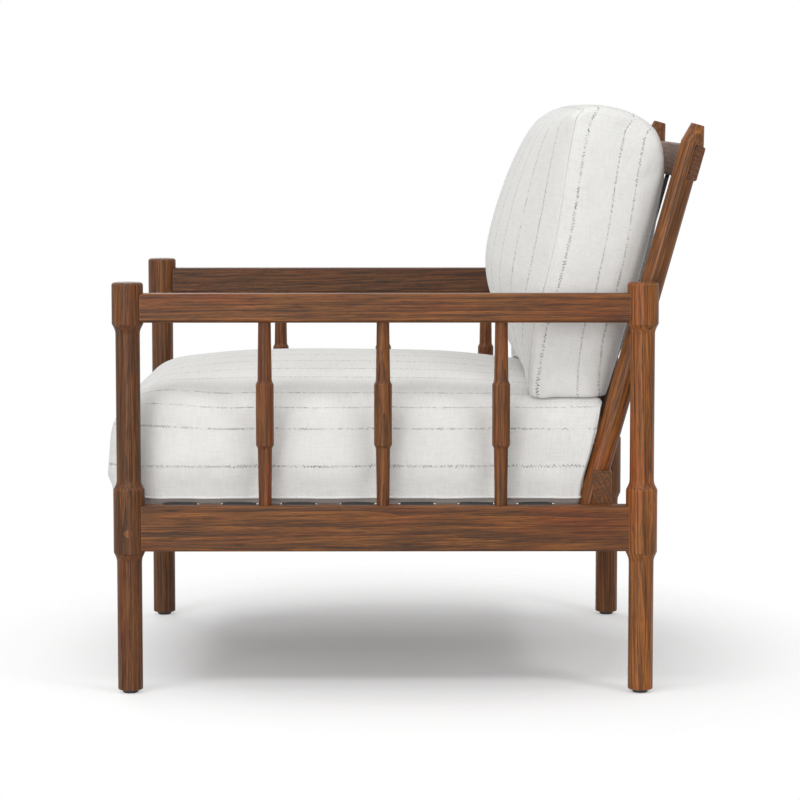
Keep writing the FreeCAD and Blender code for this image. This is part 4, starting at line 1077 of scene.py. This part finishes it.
def panel_run(k):
    sheet = np.array([[back_at(i, j, k) for j in range(by + 1)] for i in range(bx + 1)])
    return lengths_along(sheet), lengths_along(np.swapaxes(sheet, 0, 1))


front_run, front_rise = panel_run(bz)
rear_run, rear_rise = panel_run(0)
back_mid_row = by // 2


def back_run(step, panel):
    i, j, k = step
    axis, far_end = panel
    if axis == 2:
        run, rise = (front_run, front_rise) if far_end else (rear_run, rear_rise)
        width = run[bx, back_mid_row]
        reach = width * (1.0 - run[i, j] / run[bx, j])
        return reach, rise[j, i]
    point = back_at(i, j, k)
    seam = back_at(i, j, bz)
    depth = float(np.linalg.norm(point - seam))
    along = float(point @ np.array(LEANING)) if axis == 0 else float(point[0])
    return depth, along


def back_stripe(step, panel):
    reach, along = back_run(step, panel)
    if panel[0] == 2:
        return reach - FRONT_FIRST_STRIPE, along
    return by_mark(reach, BAND_STRIPES), along


paint_map(back_pad, CLOTH_MAP, back_quads, back_panels, back_run)
paint_map(back_pad, STRIPE_MAP, back_quads, back_panels, back_stripe)
back_pad.data.materials.append(cover_cloth)
add_finer_cloth(back_pad)
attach(back_pad, "back_cushion")
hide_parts("back_cushion_cover", "back_cushion_core")
print("back panel", round(float(front_run[bx, back_mid_row]), 3), "m of cloth wide")

# %% [markdown]
# A self-welt, a thin folded strip of the same cloth, is caught in each seam of the back cushion, in the
# lower seam of the seat and round the seat's two end panels. It could be a ridge in the cushion's mesh,
# but a separate fine tube along the seam's own points stays crisp and can be as thin as the real one.

# %% Welts
WELT_RADIUS = 0.0016
WELT_ROUNDNESS = 3
BACK_FRONT_LIFT = 0.0009
BACK_REAR_LIFT = -0.0010
SEAT_FOOT_LIFT = 0.0004
SEAT_END_LIFT = -0.0002


def rim_loop(counts, k):
    x_end, y_end = counts[0], counts[1]
    loop = [(i, 0, k) for i in range(x_end)]
    loop += [(x_end, j, k) for j in range(y_end)]
    loop += [(i, y_end, k) for i in range(x_end, 0, -1)]
    loop += [(0, j, k) for j in range(y_end, 0, -1)]
    return loop


def end_panel_seam(counts, j):
    x_end, z_end = counts[0], counts[2]
    seam = [(x_end, j, k) for k in range(1, z_end)]
    seam += [(i, j, z_end) for i in range(x_end, -1, -1)]
    seam += [(0, j, k) for k in range(z_end - 1, 0, -1)]
    return seam


def welt(name, pad, ids, loop, body, lift, closed=True):
    bpy.context.view_layer.update()
    graph = bpy.context.evaluated_depsgraph_get()
    finer = pad.evaluated_get(graph).to_mesh()
    line = [finer.vertices[ids[step]].co + finer.vertices[ids[step]].normal * lift for step in loop]
    pad.evaluated_get(graph).to_mesh_clear()
    curve = bpy.data.curves.new(name, "CURVE")
    curve.dimensions = "3D"
    curve.bevel_depth = WELT_RADIUS
    curve.bevel_resolution = WELT_ROUNDNESS
    spline = curve.splines.new("POLY")
    spline.points.add(len(line) - 1)
    for point, spot in zip(spline.points, line):
        point.co = (*spot, 1.0)
    spline.use_cyclic_u = closed
    tube = bpy.data.objects.new(name, curve)
    bpy.context.scene.collection.objects.link(tube)
    curve.materials.append(plain_cloth)
    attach(tube, body)


welt("back_front_welt", back_pad, back_ids, rim_loop(BACK_COUNTS, bz), "back_cushion", BACK_FRONT_LIFT)
welt("back_rear_welt", back_pad, back_ids, rim_loop(BACK_COUNTS, 0), "back_cushion", BACK_REAR_LIFT)
welt("seat_foot_welt", seat_pad, seat_ids, rim_loop(SEAT_COUNTS, 1), "seat_cushion", SEAT_FOOT_LIFT)
for name, j in (("seat_front_welt", 0), ("seat_rear_welt", ny)):
    seam = end_panel_seam(SEAT_COUNTS, j)
    welt(name, seat_pad, seat_ids, seam, "seat_cushion", SEAT_END_LIFT, closed=False)
print("welts sewn")
